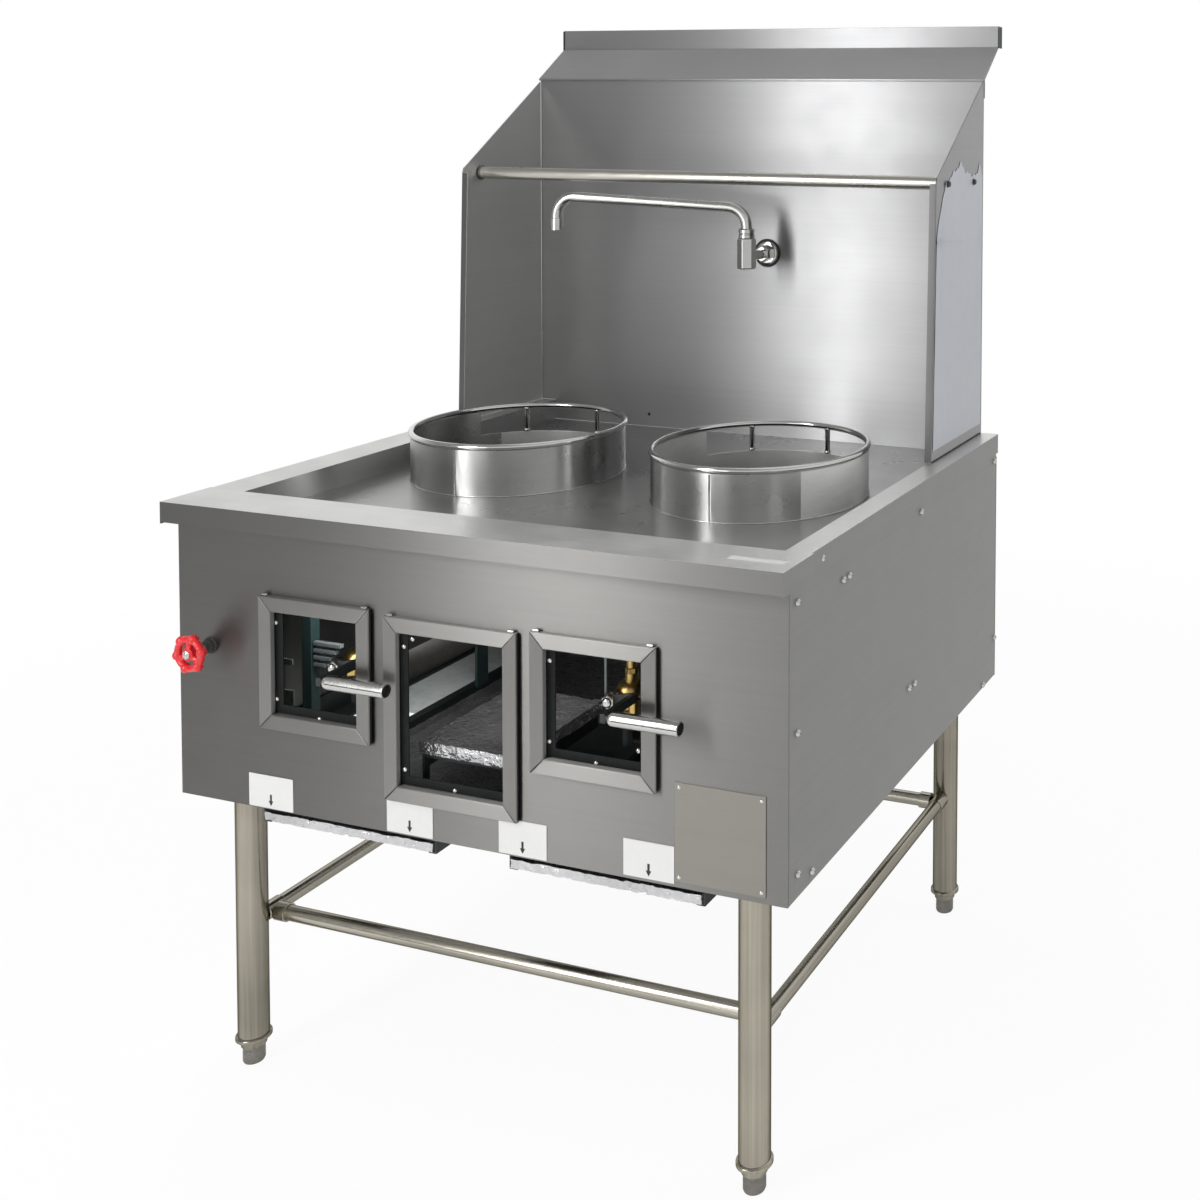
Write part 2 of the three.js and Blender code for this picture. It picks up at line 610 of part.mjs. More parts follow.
const armX = [boardX[0] + 4, boardX[1] - 8];
add('base_beam_front', build([
  box(-frontX, frontX, by0, by0 + beamWall, beamZ, beamZ + beam),
  box(-frontX, frontX, by0, by0 + beam, beamZ, beamZ + beamWall),
  // welded stand that carries the board
  ...armX.map((x) => box(x, x + 4, boardY[0] + 2, by0 + beam, beamZ, standTop)),
  ...armX.map((x) => box(x, x + 4, boardY[0] + 2, boardY[1] - 6, standTop - 20, standTop)),
  box(armX[0], armX[1] + 4, boardY[0] + 2, boardY[0] + 12, standTop - 4, standTop),
]), 'black');
add('foil_board', box(boardX[0], boardX[1], boardY[0], boardY[1], boardZ[0], boardZ[1]), 'foil');

// ---------- splash-back ----------
add('back_panel', build([
  box(innerLeft + gap, innerRight - gap, backY, depth, deckZ + gap, rimZ + 10),
  box(-wingX, wingX, backY, depth, rimZ + gap, backTop),
], [rodYAxis(waterPipeDia / 2 + gap, faucetX, backY - 1, depth + 1, faucetZ, 20)]), 'brushed');

const slopeTan = Math.tan(wingSlope * Math.PI / 180);
const wingRearY = backY - gap;
const wingCornerY = wingFrontTop + 12;
const wingTopZ = (y) => wingCornerZ + 13 + (y - wingCornerY) * slopeTan;
const outline = [
  [wingFrontBottom, rimZ + gap], [wingRearY, rimZ + gap], [wingRearY, wingTopZ(wingRearY)],
  [wingCornerY, wingTopZ(wingCornerY)], [wingFrontTop + 3, wingCornerZ + 7], [wingFrontTop, wingCornerZ - 2],
];
for (const s of [-1, 1]) {
  const xs = [s * wingX, s * (wingX - sheet)].sort((a, b) => a - b);
  const xh = [s * wingX, s * (wingX - wingHem)].sort((a, b) => a - b);
  add(`wing_${s < 0 ? 'left' : 'right'}`, build([
    alongX(outline, xs[0], xs[1]),
    alongX([[wingFrontBottom, rimZ + gap], [wingFrontBottom + sheet, rimZ + gap],
      [wingFrontTop + sheet, wingCornerZ - 2], [wingFrontTop, wingCornerZ - 2]], xh[0], xh[1]),
  ]), 'brushed');
}

const hemZ = fasciaZ + fasciaHeight;
const stripY = depth + gap;
add('backguard_top', alongX([
  [stripY, backTop - 30], [stripY + sheet, backTop - 30], [stripY + sheet, slopeZ - 8],
  [fasciaY + sheet, fasciaZ], [fasciaY + sheet, hemZ - sheet], [fasciaY + fasciaReturn, hemZ - sheet],
  [fasciaY + fasciaReturn, hemZ], [fasciaY, hemZ], [fasciaY, fasciaZ + 1], [stripY - 6, slopeZ - 6.5],
  [stripY - 6, backTop + gap], [stripY, backTop + gap],
], -wingX - 1, wingX + 1), 'brushed');

const railEnd = wingX - sheet - gap;
add('pipe_rail', rodXAxis(railDia / 2, -railEnd, railEnd, railY, railZ), 'pipe');

// ---------- faucet ----------
const spoutY = backY - faucetReach;
add('faucet_body', build([
  rodYAxis(9, faucetX, spoutY, backY - gap, faucetZ, 20),
  rodYAxis(22, faucetX, backY - gap - 6, backY - gap, faucetZ, 24),
  rodYAxis(14, faucetX, backY - gap - 24, backY - gap - 4, faucetZ, 6),
  rodZAxis(hexFlats / Math.sqrt(3), faucetX, spoutY, faucetZ - hexLow, faucetZ + hexHigh, 6),
]), 'polished');

const armDir = [Math.cos(spoutTurn * Math.PI / 180), Math.sin(spoutTurn * Math.PI / 180)];
const along = (d, z) => [faucetX + armDir[0] * d, spoutY + armDir[1] * d, z];
const spoutFoot = faucetZ + hexHigh + gap;
const armZ = faucetZ + spoutRise;
add('faucet_spout', build([
  rodZAxis(14, faucetX, spoutY, spoutFoot, spoutFoot + 16, 24),
  pipe([along(0, spoutFoot + 6), along(0, armZ), along(spoutLength, armZ + spoutLift),
    along(spoutLength, armZ + spoutLift - spoutDrop)], spoutDia / 2, spoutBend, 16),
  rodZAxis(spoutDia / 2 + 1.6, ...along(spoutLength, 0).slice(0, 2),
    armZ + spoutLift - spoutDrop - 3, armZ + spoutLift - spoutDrop + 12, 20),
]), 'polished');

add('rating_plate', box(plateX - plateW / 2, plateX + plateW / 2, -gap - plateT, -gap,
  plateZ - plateW / 2, plateZ + plateW / 2), 'brushed');

// ---------- legs, feet and cross rails ----------
const legTop = baseZ;
const legYs = [legInsetY, depth - legInsetY];
const plateOut = bx - legX - gap;
for (const sx of [-1, 1]) {
  legYs.forEach((y, i) => {
    const name = `${i ? 'rear' : 'front'}_${sx < 0 ? 'left' : 'right'}`;
    const x = sx * legX;
    const bore = footStem / 2 + gap;
    const xs = [x + sx * plateOut, x - sx * (legPlate - plateOut)].sort((a, b) => a - b);
    const ys = i ? [y - 50, by1] : [panelReturn + gap, y + 50];
    add(`leg_${name}`, build([
      turned([
        [bore, collarZ], [collarDia / 2 - 4, collarZ], [collarDia / 2, collarZ + 5],
        [collarDia / 2, collarZ + 12], [legR, collarZ + 19], [legR, legTop + 1],
        [legR - legWall, legTop + 1], [legR - legWall, collarZ + 22], [bore, collarZ + 22], [bore, collarZ],
      ], x, y, 24),
      box(xs[0], xs[1], ys[0], ys[1], legTop, legTop + legPlateThick),
    ]), 'pipe');
    add(`foot_${name}`, turned([
      [0, 0], [footDia / 2 - 4, 0], [footDia / 2, 4], [footDia / 2, collarZ - gap],
      [footStem / 2, collarZ - gap], [footStem / 2, collarZ + 55], [0, collarZ + 55],
    ], x, y, 20), 'iron');
  });
  const y0 = legYs[0] + legR + gap;
  const y1 = legYs[1] - legR - gap;
  add(`cross_rail_${sx < 0 ? 'left' : 'right'}`, build([
    rodYAxis(railPipeDia / 2, sx * legX, y0 + 1, y1 - 1, crossRailZ, 16),
    rodYAxis(ferruleDia / 2, sx * legX, y0, y0 + ferruleLength, crossRailZ, 16),
    rodYAxis(ferruleDia / 2, sx * legX, y1 - ferruleLength, y1, crossRailZ, 16),
  ]), 'pipe');
}
const crossEnd = legX - ferruleDia / 2 - gap;
add('cross_rail_front', rodXAxis(railPipeDia / 2, -crossEnd, crossEnd, legYs[0] + crossRailInset,
  crossRailZ, 16), 'pipe');
add('cross_rail_rear', rodXAxis(railPipeDia / 2, -crossEnd, crossEnd, legYs[1] - crossRailInset,
  crossRailZ, 16), 'pipe');

export default group;
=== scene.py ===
# %% [markdown]
# # Two-ring wok range
# A free-standing range of brushed stainless sheet on pipe legs: a recessed deck with two pot rings, a tall
# splash-back with side wings, a rail, a swing spout, a red hand wheel and two gas levers behind three windows.
# The measured solids come in first. Everything after that only adds finish and fine shape to them.

# %% Load the measured solids
import bpy
import bmesh
import json
import math
from mathutils import Matrix, Vector, noise as field


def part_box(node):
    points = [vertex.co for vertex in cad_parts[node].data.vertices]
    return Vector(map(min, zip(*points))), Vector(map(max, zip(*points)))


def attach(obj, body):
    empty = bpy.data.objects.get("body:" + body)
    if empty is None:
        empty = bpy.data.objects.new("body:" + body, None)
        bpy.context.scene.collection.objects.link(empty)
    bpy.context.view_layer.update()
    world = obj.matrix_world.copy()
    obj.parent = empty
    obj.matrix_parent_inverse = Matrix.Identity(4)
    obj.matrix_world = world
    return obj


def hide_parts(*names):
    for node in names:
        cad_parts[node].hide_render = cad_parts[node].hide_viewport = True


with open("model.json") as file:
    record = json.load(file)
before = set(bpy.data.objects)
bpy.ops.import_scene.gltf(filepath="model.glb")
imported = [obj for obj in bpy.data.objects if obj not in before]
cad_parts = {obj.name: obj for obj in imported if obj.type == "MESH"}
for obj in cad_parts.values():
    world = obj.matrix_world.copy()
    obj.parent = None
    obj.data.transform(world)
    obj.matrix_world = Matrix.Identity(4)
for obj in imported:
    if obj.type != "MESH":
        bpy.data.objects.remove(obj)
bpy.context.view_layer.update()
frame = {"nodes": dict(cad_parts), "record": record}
body_of = {n: b for b, names in frame["record"]["behaviour"]["bodies"].items() for n in names}
slot_of = {s["node"]: s["material_slot"] for s in frame["record"]["subparts"]}
MM = 0.001
front_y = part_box("front_panel")[0].y          # outer face of the front panel
right_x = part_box("side_panel_right")[1].x     # outer face of the right side
wing_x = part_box("wing_right")[1].x            # outer face of the right wing
panel_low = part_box("front_panel")[0].z        # lower edge of all panels
rim_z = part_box("deck_pan")[1].z               # top of the deck's rim
back_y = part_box("back_panel")[0].y            # face of the splash-back
print("bodies:", sorted(set(body_of.values())))

# %% [markdown]
# The camera stands to the right of the range and a little above the rings. The photograph is an off-centre
# crop, so the lens keeps upright lines nearly upright with a shift instead of a strong tilt.

# %% Camera
PICTURE = 1200.0                              # width and height of the photograph in pixels
FOCAL_LENGTH = 1433.0                         # in the same pixels
AXIS_X, AXIS_Y = 1027.0, 184.0                # the pixel that the lens's axis runs through
SENSOR = 36.0                                 # width of Blender's sensor in millimetres
STAND = (1.2694, -1.9834, 1.3815)
yaw, pitch, roll = -0.304, 0.043, 0.010       # radians: turned to the left, tipped down, leaning
ahead = Vector((math.sin(yaw) * math.cos(pitch), math.cos(yaw) * math.cos(pitch), -math.sin(pitch)))
level = Vector((math.cos(yaw), -math.sin(yaw), 0.0))
upward = level.cross(ahead)
rightward = level * math.cos(roll) + upward * math.sin(roll)
upright = upward * math.cos(roll) - level * math.sin(roll)
eye = bpy.data.cameras.new("photo_camera")
eye.sensor_width = SENSOR
eye.lens = FOCAL_LENGTH / PICTURE * SENSOR
eye.shift_x = -(AXIS_X - PICTURE / 2) / PICTURE
eye.shift_y = -(PICTURE / 2 - AXIS_Y) / PICTURE
camera = bpy.data.objects.new("photo_camera", eye)
bpy.context.scene.collection.objects.link(camera)
camera.matrix_world = Matrix.Translation(STAND) @ Matrix((rightward, upright, -ahead)).transposed().to_4x4()
bpy.context.scene.camera = camera
bpy.context.scene.view_settings.view_transform = "Standard"
print("lens", round(eye.lens, 2), "shift", round(eye.shift_x, 3), round(eye.shift_y, 3))

# %% [markdown]
# The sky, the floor and every finish below are small trees of shader nodes. One helper adds any node and plugs
# in what it reads, be it a plain value or another node's output. Three more add the kinds needed most often.

# %% Helpers: shader nodes
def add(tree, kind, *plugs, **settings):
    """Adds a shader node with its settings; each plug is an input's name and what goes into it."""
    node = tree.nodes.new("ShaderNode" + kind)
    for key, value in settings.items():
        setattr(node, key, value)
    for name, value in plugs:
        if isinstance(value, bpy.types.NodeSocket):
            tree.links.new(value, node.inputs[name])
        else:
            node.inputs[name].default_value = value
    return node


def maths(tree, operation, *values):
    """A Math node that reads sockets or plain numbers."""
    return add(tree, "Math", *enumerate(values), operation=operation).outputs[0]


def ranged(tree, value, low, high, start=0.25, end=0.75, curve="LINEAR"):
    """Maps a value from start..end to low..high."""
    return add(tree, "MapRange", ("Value", value), ("From Min", start), ("From Max", end), ("To Min", low),
               ("To Max", high), interpolation_type=curve).outputs["Result"]


def noise(tree, vector, scale, detail, rough):
    """A noise texture; detail is the number of finer layers, rough their strength."""
    return add(tree, "TexNoise", ("Vector", vector), ("Scale", scale), ("Detail", detail),
               ("Roughness", rough)).outputs["Fac"]


print("node helpers ready")

# %% [markdown]
# Brushed steel shows what stands around it, so the room matters as much as the lamps. In metal the room is a
# ring of greys round the horizon: a white cove from the left round to behind the range, and a dark gap at the
# front left that gives the sheet its grey. A second ring, higher up, is white behind the range only. Each ring
# is a colour ramp read by the compass bearing, and the height blends the two.

# %% Sky: two rings of brightness
world = bpy.data.worlds.new("studio")
bpy.context.scene.world = world
world.use_nodes = True
tree = world.node_tree
tree.nodes.clear()
compass = add(tree, "SeparateXYZ", (0, add(tree, "TexCoord").outputs["Generated"])).outputs
bearing = ranged(tree, maths(tree, "ARCTAN2", compass["X"], compass["Y"]), 0, 1, -math.pi, math.pi)


def ramp(stops):
    """A grey ramp round the horizon, from pairs of bearing and brightness."""
    node = add(tree, "ValToRGB", ("Fac", bearing))
    ends = node.color_ramp.elements
    ends[0].position, ends[1].position = stops[0][0], stops[-1][0]
    ends[0].color, ends[1].color = (stops[0][1],) * 3 + (1,), (stops[-1][1],) * 3 + (1,)
    for position, bright in stops[1:-1]:
        ends.new(position).color = (bright,) * 3 + (1,)
    return node.outputs["Color"]


# bearing 0 and 1 are in front of the range, 0.25 its left, 0.5 behind it, 0.75 its right
low_sky = ramp(((0.0, 0.72), (0.055, 0.68), (0.083, 0.40), (0.10, 0.28), (0.16, 0.24), (0.22, 0.50),
                (0.28, 0.95), (0.545, 1.0), (0.575, 0.70), (0.66, 0.70), (0.75, 0.90), (0.90, 0.80),
                (1.0, 0.72)))
high_sky = ramp(((0.0, 0.35), (0.05, 0.30), (0.10, 0.36), (0.335, 0.26), (0.352, 0.34), (0.378, 0.92),
                 (0.56, 1.0), (0.70, 0.60), (1.0, 0.35)))
raised = ranged(tree, compass["Z"], 0, 1, 0.42, 0.60, "SMOOTHSTEP")
by_height = add(tree, "Mix", ("Factor", raised), ("A", low_sky), ("B", high_sky), data_type="RGBA")
print("sky rings ready")

# %% [markdown]
# Only metal sees those rings. Dull surfaces are lit by an even sky, and the camera, also through glass, sees
# plain white. Light Path tells the kinds of ray apart.

# %% Sky: what each kind of ray sees
EVEN_SKY = 0.62
rays = add(tree, "LightPath").outputs
lighting = add(tree, "Mix", ("Factor", rays["Is Glossy Ray"]), ("A", EVEN_SKY), ("B", by_height.outputs["Result"]))
seen = maths(tree, "MAXIMUM", rays["Is Camera Ray"], rays["Is Transmission Ray"])
strength = maths(tree, "MAXIMUM", lighting.outputs["Result"], seen)
sky = add(tree, "Background", ("Color", (1, 1, 1, 1)), ("Strength", strength))
add(tree, "OutputWorld", ("Surface", sky.outputs[0]))
print("sky: white to the camera, two rings in metal,", EVEN_SKY, "on dull surfaces")

# %% [markdown]
# The floor is one wide pale plane. To the camera it glows white, almost fully under the range, so that the
# range's soft shadow stays, and fully further off, so that it runs into the white sky without an edge.

# %% Floor
def clear():
    """Leaves edit mode and deselects everything, because operators act on all that is selected."""
    if bpy.context.object and bpy.context.object.mode != "OBJECT":
        bpy.ops.object.mode_set(mode="OBJECT")
    bpy.ops.object.select_all(action="DESELECT")


clear()
bpy.ops.mesh.primitive_plane_add(size=60.0, location=(0, 0, 0))
floor = bpy.context.object
floor.name = "floor"
pale = bpy.data.materials.new("pale_floor")
pale.use_nodes = True
tree = pale.node_tree
shader = tree.nodes["Principled BSDF"]
shader.inputs["Base Color"].default_value = (0.86, 0.86, 0.86, 1)
shader.inputs["Roughness"].default_value = 0.9
shader.inputs["Specular IOR Level"].default_value = 0.2
rays = add(tree, "LightPath").outputs
from_middle = add(tree, "VectorMath", (0, add(tree, "TexCoord").outputs["Object"]), operation="LENGTH")
white = ranged(tree, from_middle.outputs["Value"], 0.92, 1.0, 0.9, 3.0, "SMOOTHSTEP")
seen = maths(tree, "MAXIMUM", rays["Is Camera Ray"], rays["Is Transmission Ray"])
glowing = maths(tree, "MULTIPLY_ADD", rays["Is Glossy Ray"], 0.2, maths(tree, "MULTIPLY", seen, white))
blend = add(tree, "MixShader", (0, glowing), (1, shader.outputs[0]), (2, add(tree, "Emission").outputs[0]))
tree.links.new(blend.outputs[0], tree.nodes["Material Output"].inputs["Surface"])
floor.data.materials.append(pale)
print("floor", floor.dimensions[:2])

# %% [markdown]
# Soft boxes stand round the range as in a product studio. Two of them show in the steel as soft bands: a tall
# strip at the left and a wide panel in front. The others only add light, so metal doesn't see them: one above,
# one at the right, one that shines in at the windows, and two small ones inside the cabinet, over the parts
# that the windows show.

# %% Lamps
LAMPS = (  # name, place, aim, width, height, watts, seen in metal
    ("key_strip", (-0.91, -1.94, 1.61), (0.15, 0.37, 1.2), 0.40, 1.98, 20, True),
    ("wide_fill", (-0.60, -3.60, 1.4), (0.2, 0.0, 1.0), 1.2, 2.2, 9, True),
    ("top_light", (-0.9, 0.1, 3.4), (0, 0, 0.8), 2.2, 1.6, 26, False),
    ("right_light", (3.0, 0.8, 1.9), (0.3, 0, 0.8), 1.4, 1.8, 16, False),
    ("window_fill", (1.5, -3.0, 1.1), (0.0, -0.4, 0.55), 1.0, 1.0, 30, False),
    ("inside_left", (-0.31, -0.24, 0.70), (-0.42, 0.08, 0.41), 0.12, 0.12, 0.85, False),
    ("inside_right", (0.03, -0.30, 0.70), (-0.16, 0.12, 0.40), 0.12, 0.12, 0.6, False),
)
for name, place, aim, width, height, watts, in_metal in LAMPS:
    lamp = bpy.data.lights.new(name, "AREA")
    lamp.shape = "RECTANGLE"
    lamp.size, lamp.size_y, lamp.energy = width, height, watts
    holder = bpy.data.objects.new(name, lamp)
    bpy.context.scene.collection.objects.link(holder)
    gaze = (Vector(aim) - Vector(place)).to_track_quat("-Z", "Y")
    holder.matrix_world = Matrix.Translation(place) @ gaze.to_matrix().to_4x4()
    holder.visible_camera = False
    holder.visible_glossy = in_metal
print("soft lamps:", len(LAMPS))

# %% [markdown]
# Sheet steel is brushed in one direction before it is folded. The brushing is a noise pulled out into long
# hair lines: strongly squeezed across the grain and hardly along it. Two more noises give the cloudy tone of
# a handled sheet. They are one node group, because every steel finish here needs them.

# %% Group: brushed grain
grain = bpy.data.node_groups.new("brushed_grain", "ShaderNodeTree")
for label, kind, value in (("Vector", "Vector", None), ("Stretch", "Vector", (6, 900, 900)), ("Cloud", "Float", 0.5)):
    socket = grain.interface.new_socket(label, in_out="INPUT", socket_type="NodeSocket" + kind)
    if value is not None:
        socket.default_value = value
for label in ("Height", "Tone", "Wear"):
    grain.interface.new_socket(label, in_out="OUTPUT", socket_type="NodeSocketFloat")
given, made = grain.nodes.new("NodeGroupInput").outputs, grain.nodes.new("NodeGroupOutput").inputs
pulled = add(grain, "VectorMath", (0, given["Vector"]), (1, given["Stretch"]), operation="MULTIPLY").outputs[0]
wider = add(grain, "VectorMath", (0, pulled), ("Scale", 0.13), operation="SCALE").outputs[0]
hairs = noise(grain, pulled, 1.0, 2.0, 0.6)
bands = noise(grain, wider, 1.0, 3.0, 0.6)
clouds = noise(grain, given["Vector"], 3.2, 4.0, 0.55)
smears = noise(grain, given["Vector"], 17.0, 3.0, 0.6)
height = maths(grain, "ADD", hairs, maths(grain, "MULTIPLY", bands, 0.5))
streak = maths(grain, "ADD", maths(grain, "MULTIPLY", hairs, 0.45), maths(grain, "MULTIPLY", bands, 0.55))
cloud = maths(grain, "MULTIPLY", maths(grain, "SUBTRACT", clouds, 0.5), given["Cloud"])
grain.links.new(height, made["Height"])
grain.links.new(maths(grain, "ADD", streak, cloud), made["Tone"])
grain.links.new(maths(grain, "MULTIPLY", clouds, smears), made["Wear"])
print("group", grain.name, "nodes", len(grain.nodes))

# %% [markdown]
# One function mixes every finish from that group. Only its numbers change: tone, gloss, how deep the hair
# lines are, and along which axis they run. Fine grooves also spread a reflection across themselves, which
# is why brushed steel shows lamps as long soft bands. That is the shader's anisotropy. On sheet it follows a
# UV map whose first axis lies along the grooves.

# %% Helpers: a finish from the grain
def steel(name, colour, rough, stretch, depth=0.06, spread=0.06, cloud=0.5, metallic=1.0, smear=0.0,
          smear_turn=0.25, grooves_uv=False, bump=0.0004):
    """A brushed, drawn or painted surface, coloured and roughened by its own hair lines."""
    material = bpy.data.materials.new(name)
    material.use_nodes = True
    tree = material.node_tree
    shader = tree.nodes["Principled BSDF"]
    lines = add(tree, "Group", node_tree=grain)
    lines.inputs["Stretch"].default_value = stretch
    lines.inputs["Cloud"].default_value = cloud
    tree.links.new(add(tree, "TexCoord").outputs["Object"], lines.inputs["Vector"])
    dark = [c * (1 - spread) for c in colour]
    light = [min(1.0, c * (1 + spread)) for c in colour]
    tone = add(tree, "Mix", ("Factor", ranged(tree, lines.outputs["Tone"], 0.0, 1.0)), ("A", (*dark, 1)),
               ("B", (*light, 1)), data_type="RGBA")
    tree.links.new(tone.outputs["Result"], shader.inputs["Base Color"])
    tree.links.new(ranged(tree, lines.outputs["Wear"], *rough, 0.15, 0.4), shader.inputs["Roughness"])
    shader.inputs["Metallic"].default_value = metallic
    shader.inputs["Anisotropic"].default_value = smear
    shader.inputs["Anisotropic Rotation"].default_value = smear_turn
    if grooves_uv:
        along = add(tree, "Tangent", direction_type="UV_MAP", uv_map="grooves")
        tree.links.new(along.outputs["Tangent"], shader.inputs["Tangent"])
    if depth:
        relief = add(tree, "Bump", ("Strength", depth), ("Distance", bump), ("Height", lines.outputs["Height"]))
        tree.links.new(relief.outputs["Normal"], shader.inputs["Normal"])
    return material


def tuned(material, socket, value):
    """Sets one more socket of a material's shader."""
    material.node_tree.nodes["Principled BSDF"].inputs[socket].default_value = value


print("finish helpers ready")

# %% [markdown]
# The panels are all one kind of sheet, but each hangs in other light, so each gets its own tone as painted
# light and shade. The grain runs across on the front, the deck and the back, and front to back on the sides.

# %% Sheet finishes
ACROSS, ALONG, UPRIGHT = (6, 900, 900), (900, 6, 900), (900, 900, 6)


def sheet(name, colour, rough=(0.34, 0.42), stretch=ACROSS, smear=0.93, turn=0.25):
    """Brushed sheet whose grooves follow the piece's own UV map."""
    return steel(name, colour, rough, stretch, 0.05, 0.04, 0.6, smear=smear, smear_turn=turn, grooves_uv=True)


TRIM, TRIM_GLOSS = (0.315, 0.31, 0.298), (0.46, 0.52)
front_steel = sheet("front_steel", (0.228, 0.225, 0.217), (0.43, 0.47))
deck_steel = sheet("deck_steel", (0.50, 0.50, 0.495), (0.27, 0.34), smear=0.8)
side_steel = sheet("side_steel", (0.325, 0.323, 0.312), (0.42, 0.46), ALONG)
back_steel = sheet("back_steel", (0.395, 0.395, 0.40), (0.41, 0.44), smear=0.95)
wing_steel = sheet("wing_steel", (0.34, 0.34, 0.34), (0.34, 0.42), ALONG)
wing_inside = sheet("wing_inside", (0.82, 0.82, 0.80), (0.36, 0.42), ALONG)
# The next two are painted shade and light: the wings' folded edges darker, the deck's ledge lighter.
fold_painted_shade = sheet("fold_painted_shade", (0.21, 0.21, 0.21), (0.36, 0.44))
ledge_painted_light = sheet("ledge_painted_light", (0.78, 0.78, 0.765), (0.30, 0.38), smear=0.8)
trim_steel = sheet("trim_steel", TRIM, TRIM_GLOSS)
trim_upright = sheet("trim_upright", TRIM, TRIM_GLOSS, UPRIGHT, turn=0.0)
plate_steel = sheet("plate_steel", (0.288, 0.28, 0.25), (0.42, 0.52), smear=0.5)
print("sheet finishes ready")

# %% [markdown]
# Rolled bands carry their brushing round the ring. Pipe is drawn, so its faint lines run along it, and the
# real pipes have a warm, slightly dull skin, which takes the edge off their grazing shine: that is the
# Specular Tint. Foil uses the same hair lines as soft dents, with a bump several times as high.

# %% Pipe, bright metal and foil
FLOOR_RAIL, RAIL_GLOSS = (0.44, 0.415, 0.355), (0.18, 0.28)
rolled_steel = steel("rolled_steel", (0.50, 0.50, 0.495), (0.26, 0.34), (200, 200, 900), 0.05, smear=0.85)
# The bands' inner faces get a lighter, half-metallic copy of the rolled finish: painted light.
rolled_inside_painted_light = steel("rolled_inside_painted_light", (0.62, 0.62, 0.61), (0.28, 0.36), (200, 200, 900), 0.05, 0.10,
                      metallic=0.5, smear=0.6)
pipe_steel = steel("pipe_steel", (0.36, 0.335, 0.275), (0.15, 0.26), (170, 170, 2), 0.12, 0.46, 0.7)
tuned(pipe_steel, "Specular Tint", (0.25, 0.24, 0.22, 1))
rail_steel = steel("rail_steel", (0.60, 0.58, 0.53), (0.26, 0.36), ACROSS, 0.03, 0.16)
floor_rail_steel = steel("floor_rail_steel", FLOOR_RAIL, RAIL_GLOSS, (3, 300, 300), 0.05, 0.35)
side_rail_steel = steel("side_rail_steel", FLOOR_RAIL, RAIL_GLOSS, (300, 3, 300), 0.05, 0.35)
for look in (floor_rail_steel, side_rail_steel):
    tuned(look, "Specular Tint", (0.3, 0.29, 0.26, 1))
polished = steel("polished_steel", (0.66, 0.66, 0.64), (0.08, 0.16), (90, 90, 90), 0.02, 0.05)
satin = steel("satin_steel", (0.60, 0.60, 0.58), (0.2, 0.3), (120, 120, 120), 0.05, 0.08)
brass = steel("brass", (0.62, 0.44, 0.16), (0.22, 0.42), (160, 160, 160), 0.05, 0.22)
foil = steel("foil", (0.58, 0.58, 0.59), (0.16, 0.30), (120, 120, 120), 1.0, 0.25, metallic=0.9, bump=0.003)
cast_foot = steel("cast_foot", (0.24, 0.23, 0.21), (0.35, 0.55), (260, 260, 260), 0.2, 0.3)
print("metals ready")

# %% [markdown]
# Paint, seals, labels and the wing's film are the same recipe with the metal turned down. The seals' black
# also paints shade: a strip beside each window, the spout's mouth and the rim of the faucet's gasket. The red
# paint has a thin clear coat, and the black window liners reflect little, because they only frame the dark inside.

# %% Paint, seals, labels and film
def coat(name, colour, rough, stretch, depth, spread, metallic=0.0):
    """A painted or printed surface with an even grain."""
    return steel(name, colour, rough, (stretch,) * 3, depth, spread, metallic=metallic)


black_paint = coat("black_paint", (0.016, 0.019, 0.019), (0.34, 0.6), 120, 0.12, 0.4)
cast_iron = coat("cast_iron", (0.06, 0.058, 0.055), (0.55, 0.8), 500, 0.5, 0.35, 0.4)
red_paint = coat("red_paint", (0.58, 0.008, 0.012), (0.20, 0.34), 260, 0.10, 0.12)
tuned(red_paint, "Coat Weight", 0.4)
label_white = coat("label_white", (0.60, 0.60, 0.59), (0.42, 0.55), 300, 0.02, 0.03)
arrow_black = coat("arrow_black", (0.012, 0.012, 0.012), (0.5, 0.6), 300, 0.0, 0.1)
film_blue = coat("film_blue", (0.455, 0.468, 0.505), (0.30, 0.45), 40, 0.10, 0.04, 0.2)
liner_black = coat("liner_black", (0.009, 0.010, 0.010), (0.4, 0.6), 120, 0.1, 0.4)
tuned(liner_black, "Specular IOR Level", 0.15)
# This black serves seals and also painted shade: window strips, the spout's mouth, the gasket's rim.
seal_black = coat("seal_black", (0.012, 0.012, 0.012), (0.6, 0.8), 120, 0.05, 0.3)
dark_sheet = coat("dark_sheet", (0.42, 0.45, 0.44), (0.34, 0.5), 90, 0.05, 0.25)
dark_post = coat("dark_post", (0.022, 0.042, 0.040), (0.4, 0.6), 90, 0.05, 0.3)
grey_cast = coat("grey_cast", (0.20, 0.23, 0.23), (0.4, 0.6), 90, 0.1, 0.2, 0.3)
print("paints ready")

# %% [markdown]
# A few helpers repeat the moves of hand modelling. These open a primitive for editing, select by place or
# facing, extrude, and close the mesh cleanly.

# %% Helpers: start, pick, push, close
def start(kind, **how):
    """Adds a primitive with nothing else selected, and opens it for editing."""
    clear()
    getattr(bpy.ops.mesh, f"primitive_{kind}_add")(**how)
    piece = bpy.context.object
    bpy.ops.object.mode_set(mode="EDIT")
    bpy.ops.mesh.select_all(action="SELECT")
    return piece


